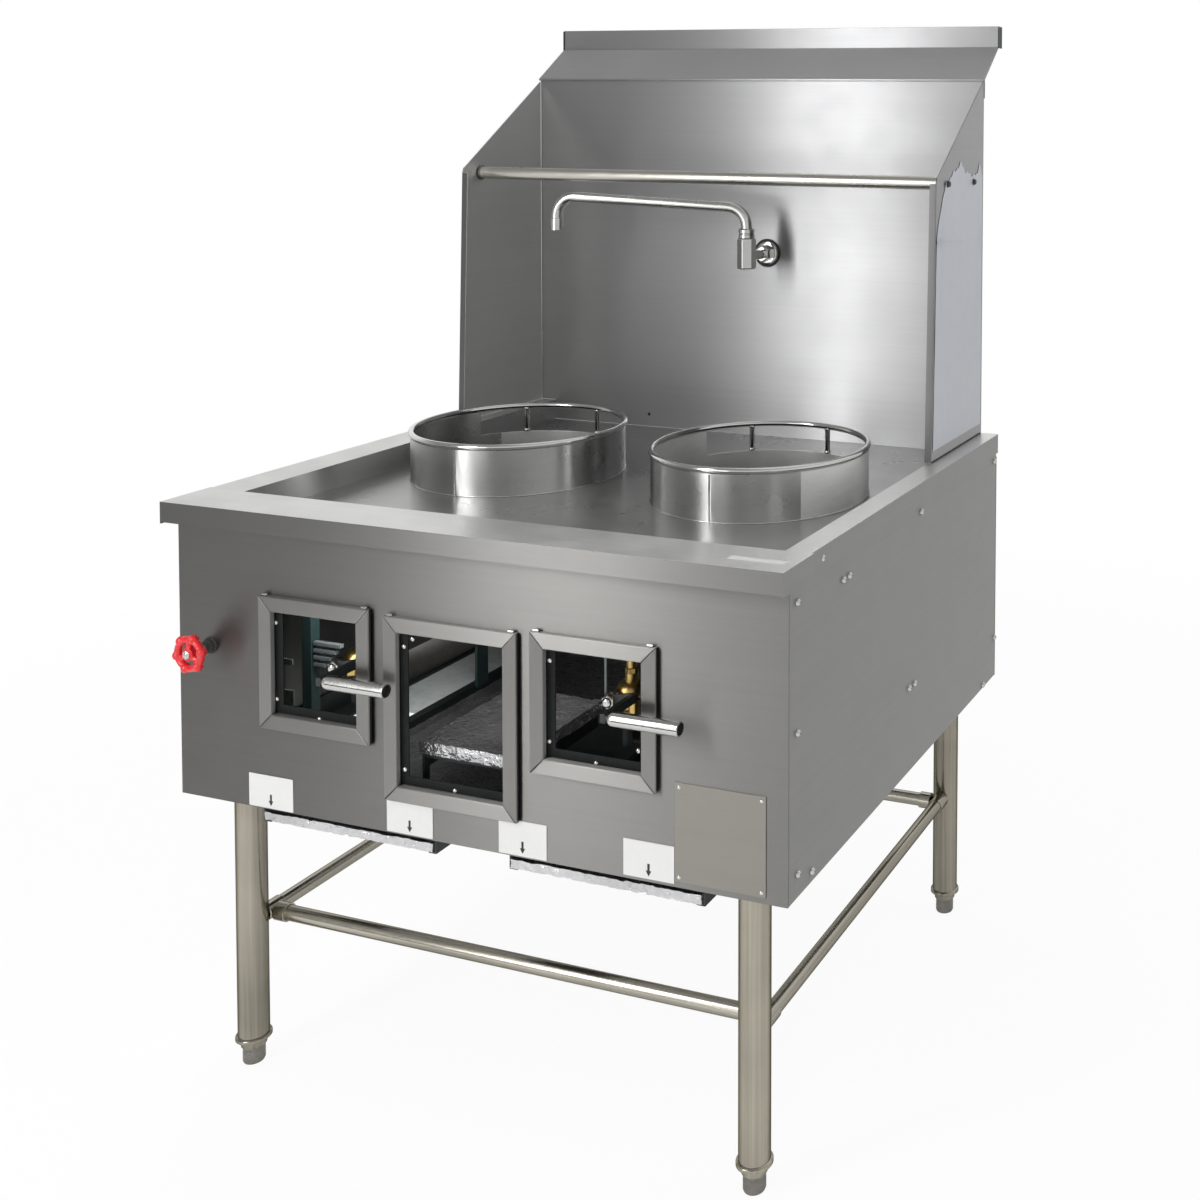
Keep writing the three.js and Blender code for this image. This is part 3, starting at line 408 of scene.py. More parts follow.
def pick(piece, test, kind="faces"):
    """Selects the faces, edges or points of an open piece whose middle and facing pass a test."""
    bpy.ops.mesh.select_mode(type={"faces": "FACE", "edges": "EDGE", "verts": "VERT"}[kind])
    bpy.ops.mesh.select_all(action="DESELECT")
    mesh = bmesh.from_edit_mesh(piece.data)
    place = piece.matrix_world
    for item in getattr(mesh, kind):
        if kind == "verts":
            middle, facing = place @ item.co, item.normal
        elif kind == "edges":
            middle, facing = place @ ((item.verts[0].co + item.verts[1].co) / 2), item.verts[0].normal
        else:
            middle, facing = place @ item.calc_center_median(), place.to_3x3() @ item.normal
        if test(middle, facing):
            item.select = True
    mesh.select_flush(True)
    bmesh.update_edit_mesh(piece.data)


def push(x=0.0, y=0.0, z=0.0):
    """Extrudes what is selected and moves it."""
    bpy.ops.mesh.extrude_region_move(TRANSFORM_OT_translate={"value": (x, y, z)})


def close(piece):
    """Merges doubles, turns all faces outwards and leaves edit mode."""
    bpy.ops.mesh.select_all(action="SELECT")
    bpy.ops.mesh.remove_doubles(threshold=1e-6)
    bpy.ops.mesh.normals_make_consistent(inside=False)
    bpy.ops.object.mode_set(mode="OBJECT")
    return piece


print("modelling helpers ready")

# %% [markdown]
# Finishing is the same for every piece: a modifier rounds the real edges, the faces are shaded smooth between
# them, and parts that are welded on the real range are joined.

# %% Helpers: modifiers, shading, joining
def alone(piece):
    """Makes a piece the only selected and active one."""
    clear()
    piece.select_set(True)
    bpy.context.view_layer.objects.active = piece


def modified(piece, kind, **values):
    """Adds a modifier with its values and applies it."""
    alone(piece)
    change = piece.modifiers.new(kind.lower(), kind)
    for key, value in values.items():
        setattr(change, key, value)
    bpy.ops.object.modifier_apply(modifier=change.name)
    return piece


def bevelled(piece, radius, segments=2, angle=50):
    """Rounds a piece's real edges by a radius in millimetres."""
    return modified(piece, "BEVEL", width=radius * MM, segments=segments, limit_method="ANGLE",
                    angle_limit=math.radians(angle), use_clamp_overlap=True)


def shaded(piece, smooth=35):
    """Shades a piece smooth between its real edges, with flat faces kept flat."""
    alone(piece)
    bpy.ops.object.shade_smooth_by_angle(angle=math.radians(smooth))
    return modified(piece, "WEIGHTED_NORMAL", keep_sharp=True, weight=80)


def joined(pieces):
    """Joins pieces into the first one."""
    alone(pieces[0])
    for piece in pieces[1:]:
        piece.select_set(True)
    bpy.ops.object.join()
    return bpy.context.object


def open_edges(piece):
    """How many edges of a mesh don't have two faces; a sound part has none."""
    mesh = bmesh.new()
    mesh.from_mesh(piece.data)
    count = sum(not edge.is_manifold for edge in mesh.edges)
    mesh.free()
    return count


print("finishing helpers ready")

# %% [markdown]
# A finished piece gets its place into its mesh, a name, a material, and the body that carries it. A piece that
# stands in for a measured solid takes that solid's body, and the solid is no longer shown.

# %% Helpers: settle and stand in
def dyed(piece, material):
    """Gives a piece one material."""
    piece.data.materials.clear()
    piece.data.materials.append(material)
    return piece


def repainted(piece, material, test):
    """Gives the faces that pass a test one more material."""
    piece.data.materials.append(material)
    for face in piece.data.polygons:
        if test(face):
            face.material_index = len(piece.data.materials) - 1


def settle(piece, name, material=None, body="cabinet", replaces=()):
    """Puts a finished piece's place into its mesh, names it and hangs it on its body."""
    alone(piece)
    bpy.ops.object.transform_apply(location=True, rotation=True, scale=True)
    piece.name = piece.data.name = name
    if material is not None:
        dyed(piece, material)
    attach(piece, body)
    if replaces:
        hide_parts(*replaces)
    return piece


def stand_in(piece, node, material=None):
    """Settles a piece in place of one measured solid."""
    return settle(piece, "fine_" + node, material, body_of[node], (node,))


print("settling helpers ready")

# %% [markdown]
# The measured sheet parts have the right shape, but knife-sharp edges. Real folded sheet has a small
# radius that catches the light as a thin bright line. Each sheet is copied, its loose triangles are
# merged back into flat faces, and the corners are bevelled. The copy then stands in for the plain solid.

# %% Helpers: dress a measured part
def grooved(piece):
    """Lays a UV map on a piece whose first axis runs along the brushing."""
    alone(piece)
    while piece.data.uv_layers:
        piece.data.uv_layers.remove(piece.data.uv_layers[0])
    piece.data.uv_layers.new(name="grooves")
    bpy.ops.object.mode_set(mode="EDIT")
    bpy.ops.mesh.select_all(action="SELECT")
    bpy.ops.uv.cube_project(cube_size=1.0)
    bpy.ops.object.mode_set(mode="OBJECT")
    return piece


def merged_copy(node):
    """A copy of a solid with its triangles merged back into flat faces."""
    piece = bpy.data.objects.new("fine_" + node, frame["nodes"][node].data.copy())
    bpy.context.scene.collection.objects.link(piece)
    alone(piece)
    bpy.ops.mesh.customdata_custom_splitnormals_clear()
    bpy.ops.object.mode_set(mode="EDIT")
    bpy.ops.mesh.select_all(action="SELECT")
    bpy.ops.mesh.remove_doubles(threshold=0.00001)
    bpy.ops.mesh.dissolve_limited(angle_limit=math.radians(1.5))
    bpy.ops.object.mode_set(mode="OBJECT")
    return piece


def dressed(node, material, radius):
    """A merged copy of a solid, its edges rounded by a radius in millimetres, standing in for it."""
    piece = merged_copy(node)
    if radius:
        bevelled(piece, radius)
    return stand_in(grooved(shaded(piece)), node, material)


print("dressing helpers ready")

# %% [markdown]
# Some sheets show more than one tone. The deck's flat ledge and rims are painted brighter than its floor, as
# the light that falls on their top, and their outer faces share the panels' brushing. The wings' folded front
# edges are painted darker, as the shade where they face away from the light.

# %% Dress the sheet parts
FACING = 0.7           # a face looks along an axis when its normal has more than this of it
sheet_looks = {
    "front_panel": front_steel, "deck_pan": deck_steel, "side_panel_left": side_steel,
    "side_panel_right": side_steel, "rear_panel": front_steel, "back_panel": back_steel,
    "wing_left": wing_inside, "wing_right": wing_steel, "backguard_top": back_steel,
}
fine = {node: dressed(node, look, 0.9) for node, look in sheet_looks.items()}


def on_top(face):
    """Whether a face belongs to the deck's flat ledge or rims."""
    return face.normal.z > FACING and face.center.z > rim_z - 2 * MM


def on_side(face):
    """Whether a face belongs to the outer side of the deck's rims."""
    return abs(face.normal.x) > FACING and abs(face.center.x) > right_x - 3 * MM and not on_top(face)


repainted(fine["deck_pan"], front_steel, lambda face: face.normal.y < -FACING and face.center.y < front_y)
# The ledge and rims take the brighter copy: painted light.
repainted(fine["deck_pan"], ledge_painted_light, on_top)
repainted(fine["deck_pan"], side_steel, on_side)
# The folded front edges take the darker copy: painted shade.
for node in ("wing_left", "wing_right"):
    repainted(fine[node], fold_painted_shade, lambda face: face.normal.y < -FACING)
print("sheet parts dressed:", len(fine))

# %% [markdown]
# The dark and brass parts inside are dressed by the slot that they were given. What is modelled anew further
# down is left out here.

# %% Dress the frame and the inside
CORNERS = ("front_left", "front_right", "rear_left", "rear_right")
modelled_below = {"hand_wheel", "gas_valve_left", "gas_valve_right", *(f"foot_{corner}" for corner in CORNERS)}
look_of_slot = {"black_paint": black_paint, "iron": cast_iron, "brass": brass}
inside = [node for node, slot in slot_of.items() if slot in look_of_slot and node not in modelled_below]
for node in inside:
    dressed(node, liner_black if node.startswith("window_liner") else look_of_slot[slot_of[node]], 0.6)
dressed("water_pipe", polished, 0)
print("inside parts dressed:", len(inside) + 1)

# %% [markdown]
# Turned and bent parts are made the way a metalworker would: a round blank is drawn up ring by ring, and a
# tube is pushed straight and bent round at each corner. Both start from a flat disc that is extruded.

# %% Helpers: turned parts and bent tubes
def euler_matrix(turn):
    """A rotation from degrees about X, then Y, then Z."""
    x, y, z = (math.radians(v) for v in turn)
    return Matrix.Rotation(z, 4, "Z") @ Matrix.Rotation(y, 4, "Y") @ Matrix.Rotation(x, 4, "X")


def turned(profile, sides=40, place=(0, 0, 0), turn=(0, 0, 0)):
    """A part drawn up from a disc; the profile lists radius and height pairs in millimetres."""
    radius, height = profile[0]
    piece = start("circle", vertices=sides, radius=radius * MM, fill_type="NGON", location=(0, 0, height * MM))
    for next_radius, next_height in profile[1:]:
        push(z=(next_height - height) * MM)
        if next_radius != radius:
            share = next_radius / radius
            bpy.ops.transform.resize(value=(share, share, 1), center_override=(0, 0, next_height * MM))
        radius, height = next_radius, next_height
    close(piece)
    piece.matrix_world = Matrix.Translation(place) @ euler_matrix(turn) @ piece.matrix_world
    return piece


def piped(corners, radius, bend, sides, steps):
    """A tube pushed along straight runs between corners in metres, and bent round at each."""
    first = (corners[1] - corners[0]).normalized()
    piece = start("circle", vertices=sides, radius=radius, fill_type="NGON", location=corners[0],
                  rotation=first.to_track_quat("Z", "Y").to_euler())
    here = corners[0]
    for last, corner, following in zip(corners, corners[1:], corners[2:]):
        before, after = (corner - last).normalized(), (following - corner).normalized()
        angle = before.angle(after)
        short = bend * math.tan(angle / 2)
        push(*(corner - before * short - here))
        axis = before.cross(after).normalized()
        centre = corner - before * short + axis.cross(before) * bend
        bpy.ops.mesh.spin(steps=steps, dupli=False, angle=-angle, center=centre, axis=axis)
        here = corner + after * short
    push(*(corners[-1] - here))
    return close(piece)


print("turning helpers ready")

# %% [markdown]
# A wok ring is a rolled steel band, cut low at the rear so that the wok can be tipped. The band's ends meet in
# a welded seam at the front, where rolled sheet always stands a little proud, and its foot is run round with a
# thin bead of weld. The band starts as an open circle that is drawn up twice, so that the rear of the upper
# strip can be deleted before the wall gets its thickness.

# %% Ring bands
BAND_WALL = 3 * MM
ROD_SEAT = 0.3 * MM    # air between the low part and the posts
LOW_HALF = 60          # half angle of the low part, about the rear, in degrees
SEAM_ANGLE = -88       # where the band's ends meet


def rolled_band(low, high, low_top, radius):
    """A band with a low rear, its seam drawn a little proud at the front, and where that seam is."""
    centre = (low + high) / 2
    band = start("circle", vertices=120, radius=radius, fill_type="NOTHING", location=(centre.x, centre.y, low.z))
    push(z=low_top - low.z)
    push(z=high.z - low_top)

    def rear(middle, facing):
        angle = math.degrees(math.atan2(middle.y - centre.y, middle.x - centre.x))
        return middle.z > low_top and abs(angle - 90) < LOW_HALF

    pick(band, rear)
    bpy.ops.mesh.delete(type="FACE")
    seam = math.radians(SEAM_ANGLE)
    at_seam = centre + Vector((math.cos(seam), math.sin(seam), 0)) * radius
    pick(band, lambda middle, facing: (middle - at_seam).xy.length < 5 * MM, "verts")
    bpy.ops.transform.translate(value=(0, -1.0 * MM, 0), use_proportional_edit=True,
                                proportional_edit_falloff="SHARP", proportional_size=36 * MM)
    pick(band, lambda middle, facing: (middle - at_seam).xy.length < 4.5 * MM and middle.z > low.z + MM
         and abs(middle.z - low_top) > MM and middle.z < high.z - MM, "edges")
    bpy.ops.mesh.mark_sharp()
    bpy.ops.object.mode_set(mode="OBJECT")
    modified(band, "SOLIDIFY", thickness=BAND_WALL, offset=0.0)
    return shaded(bevelled(band, 0.5, 2, 60)), at_seam


def ring_band(side):
    """The rolled band of one ring with its two beads of weld."""
    node = f"ring_band_{side}"
    low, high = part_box(node)
    centre = (low + high) / 2
    radius = (high.x - low.x - BAND_WALL) / 2
    band, at_seam = rolled_band(low, high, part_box(f"ring_rod_{side}")[0].z - ROD_SEAT, radius)
    dyed(band, rolled_steel)
    # The inner faces take the lighter copy, which is painted light.
    repainted(band, rolled_inside_painted_light, lambda face: face.normal.xy.dot((face.center - centre).xy) < 0)
    upright_bead = start("cylinder", vertices=10, radius=1.3 * MM, depth=high.z - low.z - 2 * MM,
                         location=(at_seam.x, at_seam.y - 2.0 * MM, centre.z))
    bpy.ops.mesh.subdivide(number_cuts=6)
    bpy.ops.transform.vertex_random(offset=0.25 * MM, seed=5)
    close(upright_bead)
    foot_bead = start("torus", major_segments=120, minor_segments=8, major_radius=radius + BAND_WALL / 2,
                      minor_radius=1.1 * MM, location=(centre.x, centre.y, low.z + 0.6 * MM))
    bpy.ops.transform.vertex_random(offset=0.2 * MM, seed=9)
    close(foot_bead)
    for bead in (upright_bead, foot_bead):
        dyed(shaded(bead, 60), satin)
    return stand_in(joined([band, upright_bead, foot_bead]), node)


print("low part of a band, in degrees:", 2 * LOW_HALF)

# %% [markdown]
# A round rod is welded on top of each band, and two short posts carry it over the low part. Where the rod's
# ends were butted together it is a little uneven, and every joint has a lumpy drop of weld.

# %% Ring rods
ROD = 9.5 * MM
POST = 8               # diameter in millimetres
POST_ANGLES = (77, 123)
BUTT_ANGLE = 2.6       # where the rod's ends meet, in radians


def weld_bead(place, size):
    """A small lumpy drop of weld, flatter than it is wide."""
    bead = start("uv_sphere", segments=14, ring_count=8, radius=size, location=place)
    bpy.ops.transform.vertex_random(offset=size * 0.12, seed=3)
    bpy.ops.transform.resize(value=(1, 1, 0.6), center_override=place)
    return close(bead)


def ring_rod(side):
    """The round rod on top of one ring, with its posts and welds."""
    node = f"ring_rod_{side}"
    low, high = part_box(node)
    centre = (low + high) / 2
    radius = (high.x - low.x - ROD) / 2
    axis_z = high.z - ROD / 2

    def on_ring(angle, z):
        return Vector((centre.x + radius * math.cos(angle), centre.y + radius * math.sin(angle), z))

    rod = start("torus", major_segments=120, minor_segments=18, major_radius=radius, minor_radius=ROD / 2,
                location=(centre.x, centre.y, axis_z))
    butt = on_ring(BUTT_ANGLE, axis_z)
    pick(rod, lambda middle, facing: (middle - butt).length < 7 * MM, "verts")
    bpy.ops.transform.vertex_random(offset=0.35 * MM, seed=2)
    parts = [close(rod)]
    for angle in map(math.radians, POST_ANGLES):
        parts.append(turned([(POST / 2, low.z / MM), (POST / 2, axis_z / MM)], 20, on_ring(angle, 0)))
        parts.append(weld_bead(on_ring(angle, low.z + 2.5 * MM), 5.6 * MM))
        parts.append(weld_bead(on_ring(angle, axis_z - ROD / 2), 5.4 * MM))
    return stand_in(joined([dyed(shaded(part, 60), polished) for part in parts]), node)


for side_name in ("left", "right"):
    band, rod = ring_band(side_name), ring_rod(side_name)
    print(side_name, "ring, faces:", len(band.data.polygons), "open edges of the rod:", open_edges(rod))

# %% [markdown]
# Each leg is a stainless pipe with a pressed collar at its foot, a square plate on top, and a weld where the
# two meet. A screwed foot comes out of the collar. Pipe, collar and foot are turned shapes, drawn up from the
# ground.

# %% Legs and feet
COLLAR_LOW = 25                                               # underside of the collar above the ground
LEG, COLLAR, FOOT, STEM = 42.2 / 2, 48.5 / 2, 30 / 2, 16 / 2  # outside radii
PLATE = 3.6                                                   # all in millimetres
sill = panel_low / MM
PIPE_PROFILE = [(STEM + 1, COLLAR_LOW), (FOOT + 1.6, COLLAR_LOW), (FOOT + 2.2, COLLAR_LOW + 0.8),
                (FOOT + 2.6, COLLAR_LOW + 9), (COLLAR - 1.4, COLLAR_LOW + 10.5), (COLLAR, COLLAR_LOW + 11.5),
                (COLLAR, COLLAR_LOW + 15), (COLLAR - 0.8, COLLAR_LOW + 16.2), (LEG, COLLAR_LOW + 17.5),
                (LEG, sill - 2), (LEG, sill + 0.5)]
FOOT_PROFILE = [(FOOT - 4, 0), (FOOT - 1.2, 1), (FOOT, 3.6), (FOOT, 17), (FOOT - 0.8, 18), (FOOT - 0.8, 19),
                (FOOT, 20), (FOOT, COLLAR_LOW - 0.3), (STEM, COLLAR_LOW - 0.3)]


def leg_and_foot(corner):
    """One leg with its plate and weld, and its screwed foot."""
    foot_low, foot_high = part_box(f"foot_{corner}")
    leg_low, leg_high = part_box(f"leg_{corner}")
    x, y = (foot_low.x + foot_high.x) / 2, (foot_low.y + foot_high.y) / 2
    plate = start("cube", size=1, location=((leg_low.x + leg_high.x) / 2, (leg_low.y + leg_high.y) / 2,
                                            leg_high.z - PLATE / 2 * MM))
    bpy.ops.transform.resize(value=(leg_high.x - leg_low.x, leg_high.y - leg_low.y, PLATE * MM),
                             center_override=plate.location)
    close(plate)
    weld = start("torus", major_segments=56, minor_segments=8, major_radius=(LEG + 0.6) * MM,
                 minor_radius=1.6 * MM, location=(x, y, panel_low - 1.2 * MM))
    bpy.ops.transform.vertex_random(offset=0.3 * MM, seed=4)
    close(weld)
    pipe = turned(PIPE_PROFILE, 56, (x, y, 0))
    leg = joined([shaded(pipe, 40), shaded(bevelled(plate, 0.8)), shaded(weld, 60)])
    foot = shaded(turned(FOOT_PROFILE + [(STEM, foot_high.z / MM)], 40, (x, y, 0)), 40)
    return stand_in(leg, f"leg_{corner}", pipe_steel), stand_in(foot, f"foot_{corner}", cast_foot)


for corner in CORNERS:
    print(corner, "open edges of leg and foot:", *(open_edges(piece) for piece in leg_and_foot(corner)))

# %% [markdown]
# The rails between the legs are thinner pipe. The side rails are pushed into short ferrules at the legs, and
# the front and rear rails end in a clamp round the side rails.

# %% Rails between the legs
FERRULE, FERRULE_LONG, RAIL = 25 / 2, 30, 21.3 / 2


def tube_profile(radius, length, inward, along):
    """A plain tube's outline with a small chamfer at both ends, in millimetres."""
    return [(radius - inward, 0), (radius, along), (radius, length / 2), (radius, length - along),
            (radius - inward, length)]


def lying_bar(profile, low, high, along, sides=36):
    """A turned bar whose profile runs between two corners of a box along X or Y."""
    centre = (low + high) / 2
    turn = (0, 90, 0) if along == "x" else (-90, 0, 0)
    begin = Vector((low.x, centre.y, centre.z)) if along == "x" else Vector((centre.x, low.y, centre.z))
    return shaded(turned(profile, sides, begin, turn), 40)


def end_rings(profile, low, high, sides, smooth):
    """The same turned ring at both ends of a bar along X, each facing inwards."""
    centre = (low + high) / 2
    return [shaded(turned(profile, sides, (x, centre.y, centre.z), (0, 90 * sign, 0)), smooth)
            for x, sign in ((low.x, 1), (high.x, -1))]


ferrule = [(FERRULE - 1, 0), (FERRULE, 1), (FERRULE, FERRULE_LONG - 1.5), (FERRULE - 1, FERRULE_LONG),
           (RAIL, FERRULE_LONG)]
clamp = [(FERRULE - 1, 0), (FERRULE + 0.6, 1), (FERRULE + 0.6, 20), (FERRULE - 1.2, 21)]
for node in ("cross_rail_left", "cross_rail_right"):
    low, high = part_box(node)
    length = (high.y - low.y) / MM
    profile = ferrule + [(radius, length - height) for radius, height in reversed(ferrule)]
    rail = stand_in(lying_bar(profile, low, high, "y"), node, side_rail_steel)
for node in ("cross_rail_front", "cross_rail_rear"):
    low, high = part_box(node)
    rail = lying_bar(tube_profile(RAIL, (high.x - low.x) / MM, 1, 1.2), low, high, "x")
    rail = stand_in(joined([rail, *end_rings(clamp, low, high, 36, 40)]), node, floor_rail_steel)
print("rails ready, open edges:", open_edges(rail))

# %% [markdown]
# The pieces on the front are easiest to place in millimetres from the panel's face and the ground. A box is a
# cube stretched between two such places, and a cut takes an end off along a plane.

# %% Helpers: place in millimetres, box and cut
def at(x, y, z):
    """A place in millimetres from the range's middle, its front face and the ground."""
    return Vector((x * MM, front_y + y * MM, z * MM))


def box_between(low, high):
    """A cube stretched between two corners, open for editing."""
    middle, size = (low + high) / 2, high - low
    piece = start("cube", size=1, location=middle)
    bpy.ops.transform.resize(value=size, center_override=middle)
    return piece


def cut(point, normal):
    """Cuts an open piece and removes the side the normal points to."""
    bpy.ops.mesh.select_all(action="SELECT")
    bpy.ops.mesh.bisect(plane_co=point, plane_no=normal, use_fill=True, clear_outer=True)


def block(name, low, high, material, radius=0.6):
    """A plain bar or plate with rounded edges, settled in place."""
    return settle(shaded(bevelled(close(box_between(low, high)), radius)), name, material)


print("box helpers ready")

# %% [markdown]
# The windows are framed with flat bars, mitred at the corners. Each bar starts as a cube, is cut off at 45
# degrees at both ends, and gets its long front edges rounded by nearly two millimetres. The rounding matters:
# it turns the frame's rim into the thin bright line that polished edges show. The right bar is thinner, over a
# black strip of painted shade that stands for the frame's dark outer side. Little knuckles sit on top of each frame.

# %% Window frames
FACE = 21 * MM         # width of the bars
TIP = 0.12 * MM        # how far the mitred tips stay clear of each other


def frame_bar(side, low, high, window_low, window_high):
    """One mitred bar of a window frame."""
    bar = box_between(low, high)
    x0, x1, z0, z1 = window_low.x, window_high.x, window_low.z, window_high.z
    ends = {
        "top": (((x0 + TIP, 0, z1), (-1, 0, -1)), ((x1 - TIP, 0, z1), (1, 0, -1))),
        "bottom": (((x0 + TIP, 0, z0), (-1, 0, 1)), ((x1 - TIP, 0, z0), (1, 0, 1))),
        "left": (((x0, 0, z1 - TIP), (1, 0, 1)), ((x0, 0, z0 + TIP), (1, 0, -1))),
        "right": (((x1, 0, z1 - TIP), (-1, 0, 1)), ((x1, 0, z0 + TIP), (-1, 0, -1))),
    }
    for point, normal in ends[side]:
        cut(point, normal)
    close(bar)
    bpy.ops.object.mode_set(mode="EDIT")
    along = 2 if side in ("left", "right") else 0
    centre, reach = (low + high) / 2, (high - low)[along] * 0.2
    pick(bar, lambda middle, facing: middle.y < low.y + 0.1 * MM
         and abs(middle[along] - centre[along]) < reach, "edges")
    bpy.ops.mesh.bevel(offset=1.7 * MM, segments=4, affect="EDGES")
    bpy.ops.object.mode_set(mode="OBJECT")
    return grooved(shaded(bevelled(bar, 0.25, 1, 40), 30))


def window_frame(side_name):
    """The four bars of one window, its black strip of painted shade and its knuckles."""
    node = f"window_trim_{side_name}"
    low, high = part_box(node)
    bars = {
        "top": ((low.x, low.y, high.z - FACE), high),
        "bottom": (low, (high.x, high.y, low.z + FACE)),
        "left": (low, (low.x + FACE, high.y, high.z)),
        "right": ((high.x - FACE, low.y, low.z), (high.x, low.y + 3 * MM, high.z)),
    }
    made = {side: frame_bar(side, Vector(a), Vector(b), low, high) for side, (a, b) in bars.items()}
    flat = [dyed(made[side], trim_steel) for side in ("top", "bottom")]
    tall = [dyed(made[side], trim_upright) for side in ("left", "right")]
    stand_in(joined(flat), node)
    settle(joined(tall), f"fine_{node}_upright")
    # A black strip inside the right bar is painted shade, standing for the frame's dark outer side.
    block(f"seal_{side_name}", Vector((high.x - FACE + 2 * MM, low.y + 3.1 * MM, low.z + 2 * MM)),
          Vector((high.x - 1 * MM, high.y, high.z - 2 * MM)), seal_black)
    profile = [(1.4, 0), (2.1, 0.7), (2.1, 8.3), (1.4, 9)]
    knuckles = [shaded(turned(profile, 16, (x - 4.5 * MM, low.y + 4 * MM, high.z + 1.7 * MM), (0, 90, 0)), 40)
                for x in (low.x + 9 * MM, high.x - 9 * MM)]
    settle(joined(knuckles), f"knuckles_{side_name}", polished)


for side_name in ("left", "middle", "right"):
    window_frame(side_name)
    print(side_name, "window frame ready")

# %% [markdown]
# All screws and rivets are copies of four small turned pieces: two sizes of dome-head screw with a socket, a
# rivet and a hexagon bolt. Each is modelled once and copied to its places, each copy with its own mesh.

# %% Screws and rivets: one of each
FORWARD, RIGHTWARD = (90, 0, 0), (0, 90, 0)
screw = shaded(turned([(3.6, -0.6), (3.6, 0.6), (3.1, 1.5), (2.2, 2.1), (1.2, 2.4), (1.1, 1.2)], 20), 35)
side_screw = shaded(turned([(4.9, -0.6), (4.9, 0.8), (4.5, 2.3), (3.6, 3.5), (2.2, 4.2), (1.2, 4.4),
                            (1.1, 3.0)], 20), 35)
rivet = shaded(turned([(2.6, -0.5), (2.6, 0.3), (2.0, 1.0), (0.9, 1.4)], 18), 40)
bolt = shaded(turned([(6.4, -0.5), (6.4, 0.8), (5.0, 0.8), (5.0, 4.2), (4.3, 4.8)], 6), 30)


def placed(master, places, name, material, turn):
    """Copies of one small part at several places, joined into one piece."""
    twins = []
    for place in places:
        twin = master.copy()
        twin.data = master.data.copy()
        bpy.context.scene.collection.objects.link(twin)
        twin.matrix_world = Matrix.Translation(place) @ euler_matrix(turn) @ master.matrix_world
        twins.append(twin)
    return settle(joined(twins), name, material)


print("one of each ready")

# %% [markdown]
# The screws sit round the windows, where the liners are held, and down the right side. Two bolts hold the
# rail, and five rivets the splash-back. The rating plate is a bare sheet with a rivet in each corner.

# %% Screws and rivets: their places
side_mm, wing_mm, back_mm = right_x / MM, wing_x / MM, (back_y - front_y) / MM
placed(screw, [at(x, 2.3, z) for x, z in (
    (-310, 676), (-309.6, 568), (-236.5, 549), (-79.8, 680), (-93.7, 668), (-93.7, 499.5), (-13, 482),
    (136, 677.5), (135, 570.5), (205.3, 551.5), (268, 577))], "liner_screws", polished, FORWARD)
placed(side_screw, [at(side_mm, y, z) for y, z in (
    (24, 823), (92, 821), (22, 786), (157, 773), (176, 773), (436, 792), (779, 792), (786, 479), (728, 416),
    (391, 538), (413, 537), (23, 621), (25, 441), (65, 424.5))], "side_screws", satin, RIGHTWARD)
placed(bolt, [at(wing_mm, 616, 1280), at(wing_mm, 740, 1279)], "rail_bolts", cast_iron, RIGHTWARD)
placed(rivet, [at(x, back_mm, 823) for x in (-410, -213, -16, 181, 378)], "back_rivets",
       back_steel, FORWARD)
low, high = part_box("rating_plate")
stand_in(grooved(shaded(bevelled(close(box_between(low, high)), 0.3))), "rating_plate", plate_steel)
INSET = 6 * MM
placed(rivet, [Vector((x, low.y, z)) for x in (low.x + INSET, high.x - INSET)
               for z in (low.z + INSET, high.z - INSET)], "plate_rivets", polished, FORWARD)
for master in (screw, side_screw, rivet, bolt):
    bpy.data.objects.remove(master)
print("screws and rivets ready")

# %% [markdown]
# Four pale plates sit under the windows, each with a plain arrow that points down: a small box for the stem
# and a three-sided circle, extruded, for the head. A thin pale strip lies on the front ledge.

# %% Labels
LABELS = ((-358, -281, 411.5, 458), (-122, -47, 412, 459), (58, 132, 412, 459), (247, 321, 414, 462))
for i, (x0, x1, z0, z1) in enumerate(LABELS):
    block(f"label_{i}", at(x0, -0.9, z0), at(x1, -0.05, z1), label_white, 0.3)
    middle = (x0 + x1) / 2
    stem = close(box_between(at(middle - 1.7, -1.0, z0 + 10), at(middle + 1.7, -0.85, z0 + 20)))
    head = start("circle", vertices=3, radius=4.8 * MM, fill_type="NGON", location=at(middle, -1.0, z0 + 8.5),
                 rotation=(math.radians(90), math.radians(180), 0))
    push(y=0.15 * MM)
    settle(joined([stem, close(head)]), f"arrow_{i}", arrow_black)
block("label_ledge", at(392, 5, rim_z / MM - 0.1), at(470, 17, rim_z / MM + 0.25), label_white, 0.1)
print("labels ready:", len(LABELS), "and a strip")

# %% [markdown]
# The hand wheel is a rough casting with six knobs. It is put together from a ring, six balls, three spokes
# and a hub. A voxel remesh then melts them into one skin and a smoothing rounds the inner corners, much as
# a sand casting comes out.

# %% Hand wheel
low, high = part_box("hand_wheel")
wheel_centre = Vector(((low.x + high.x) / 2, front_y - 35 * MM, (low.z + high.z) / 2))
UPRIGHT_DISC = (math.radians(90), 0, 0)


def on_wheel(angle, reach):
    """A point of the wheel's plane, its reach from the middle in millimetres."""
    return wheel_centre + Vector((math.cos(angle), 0, math.sin(angle))) * reach * MM


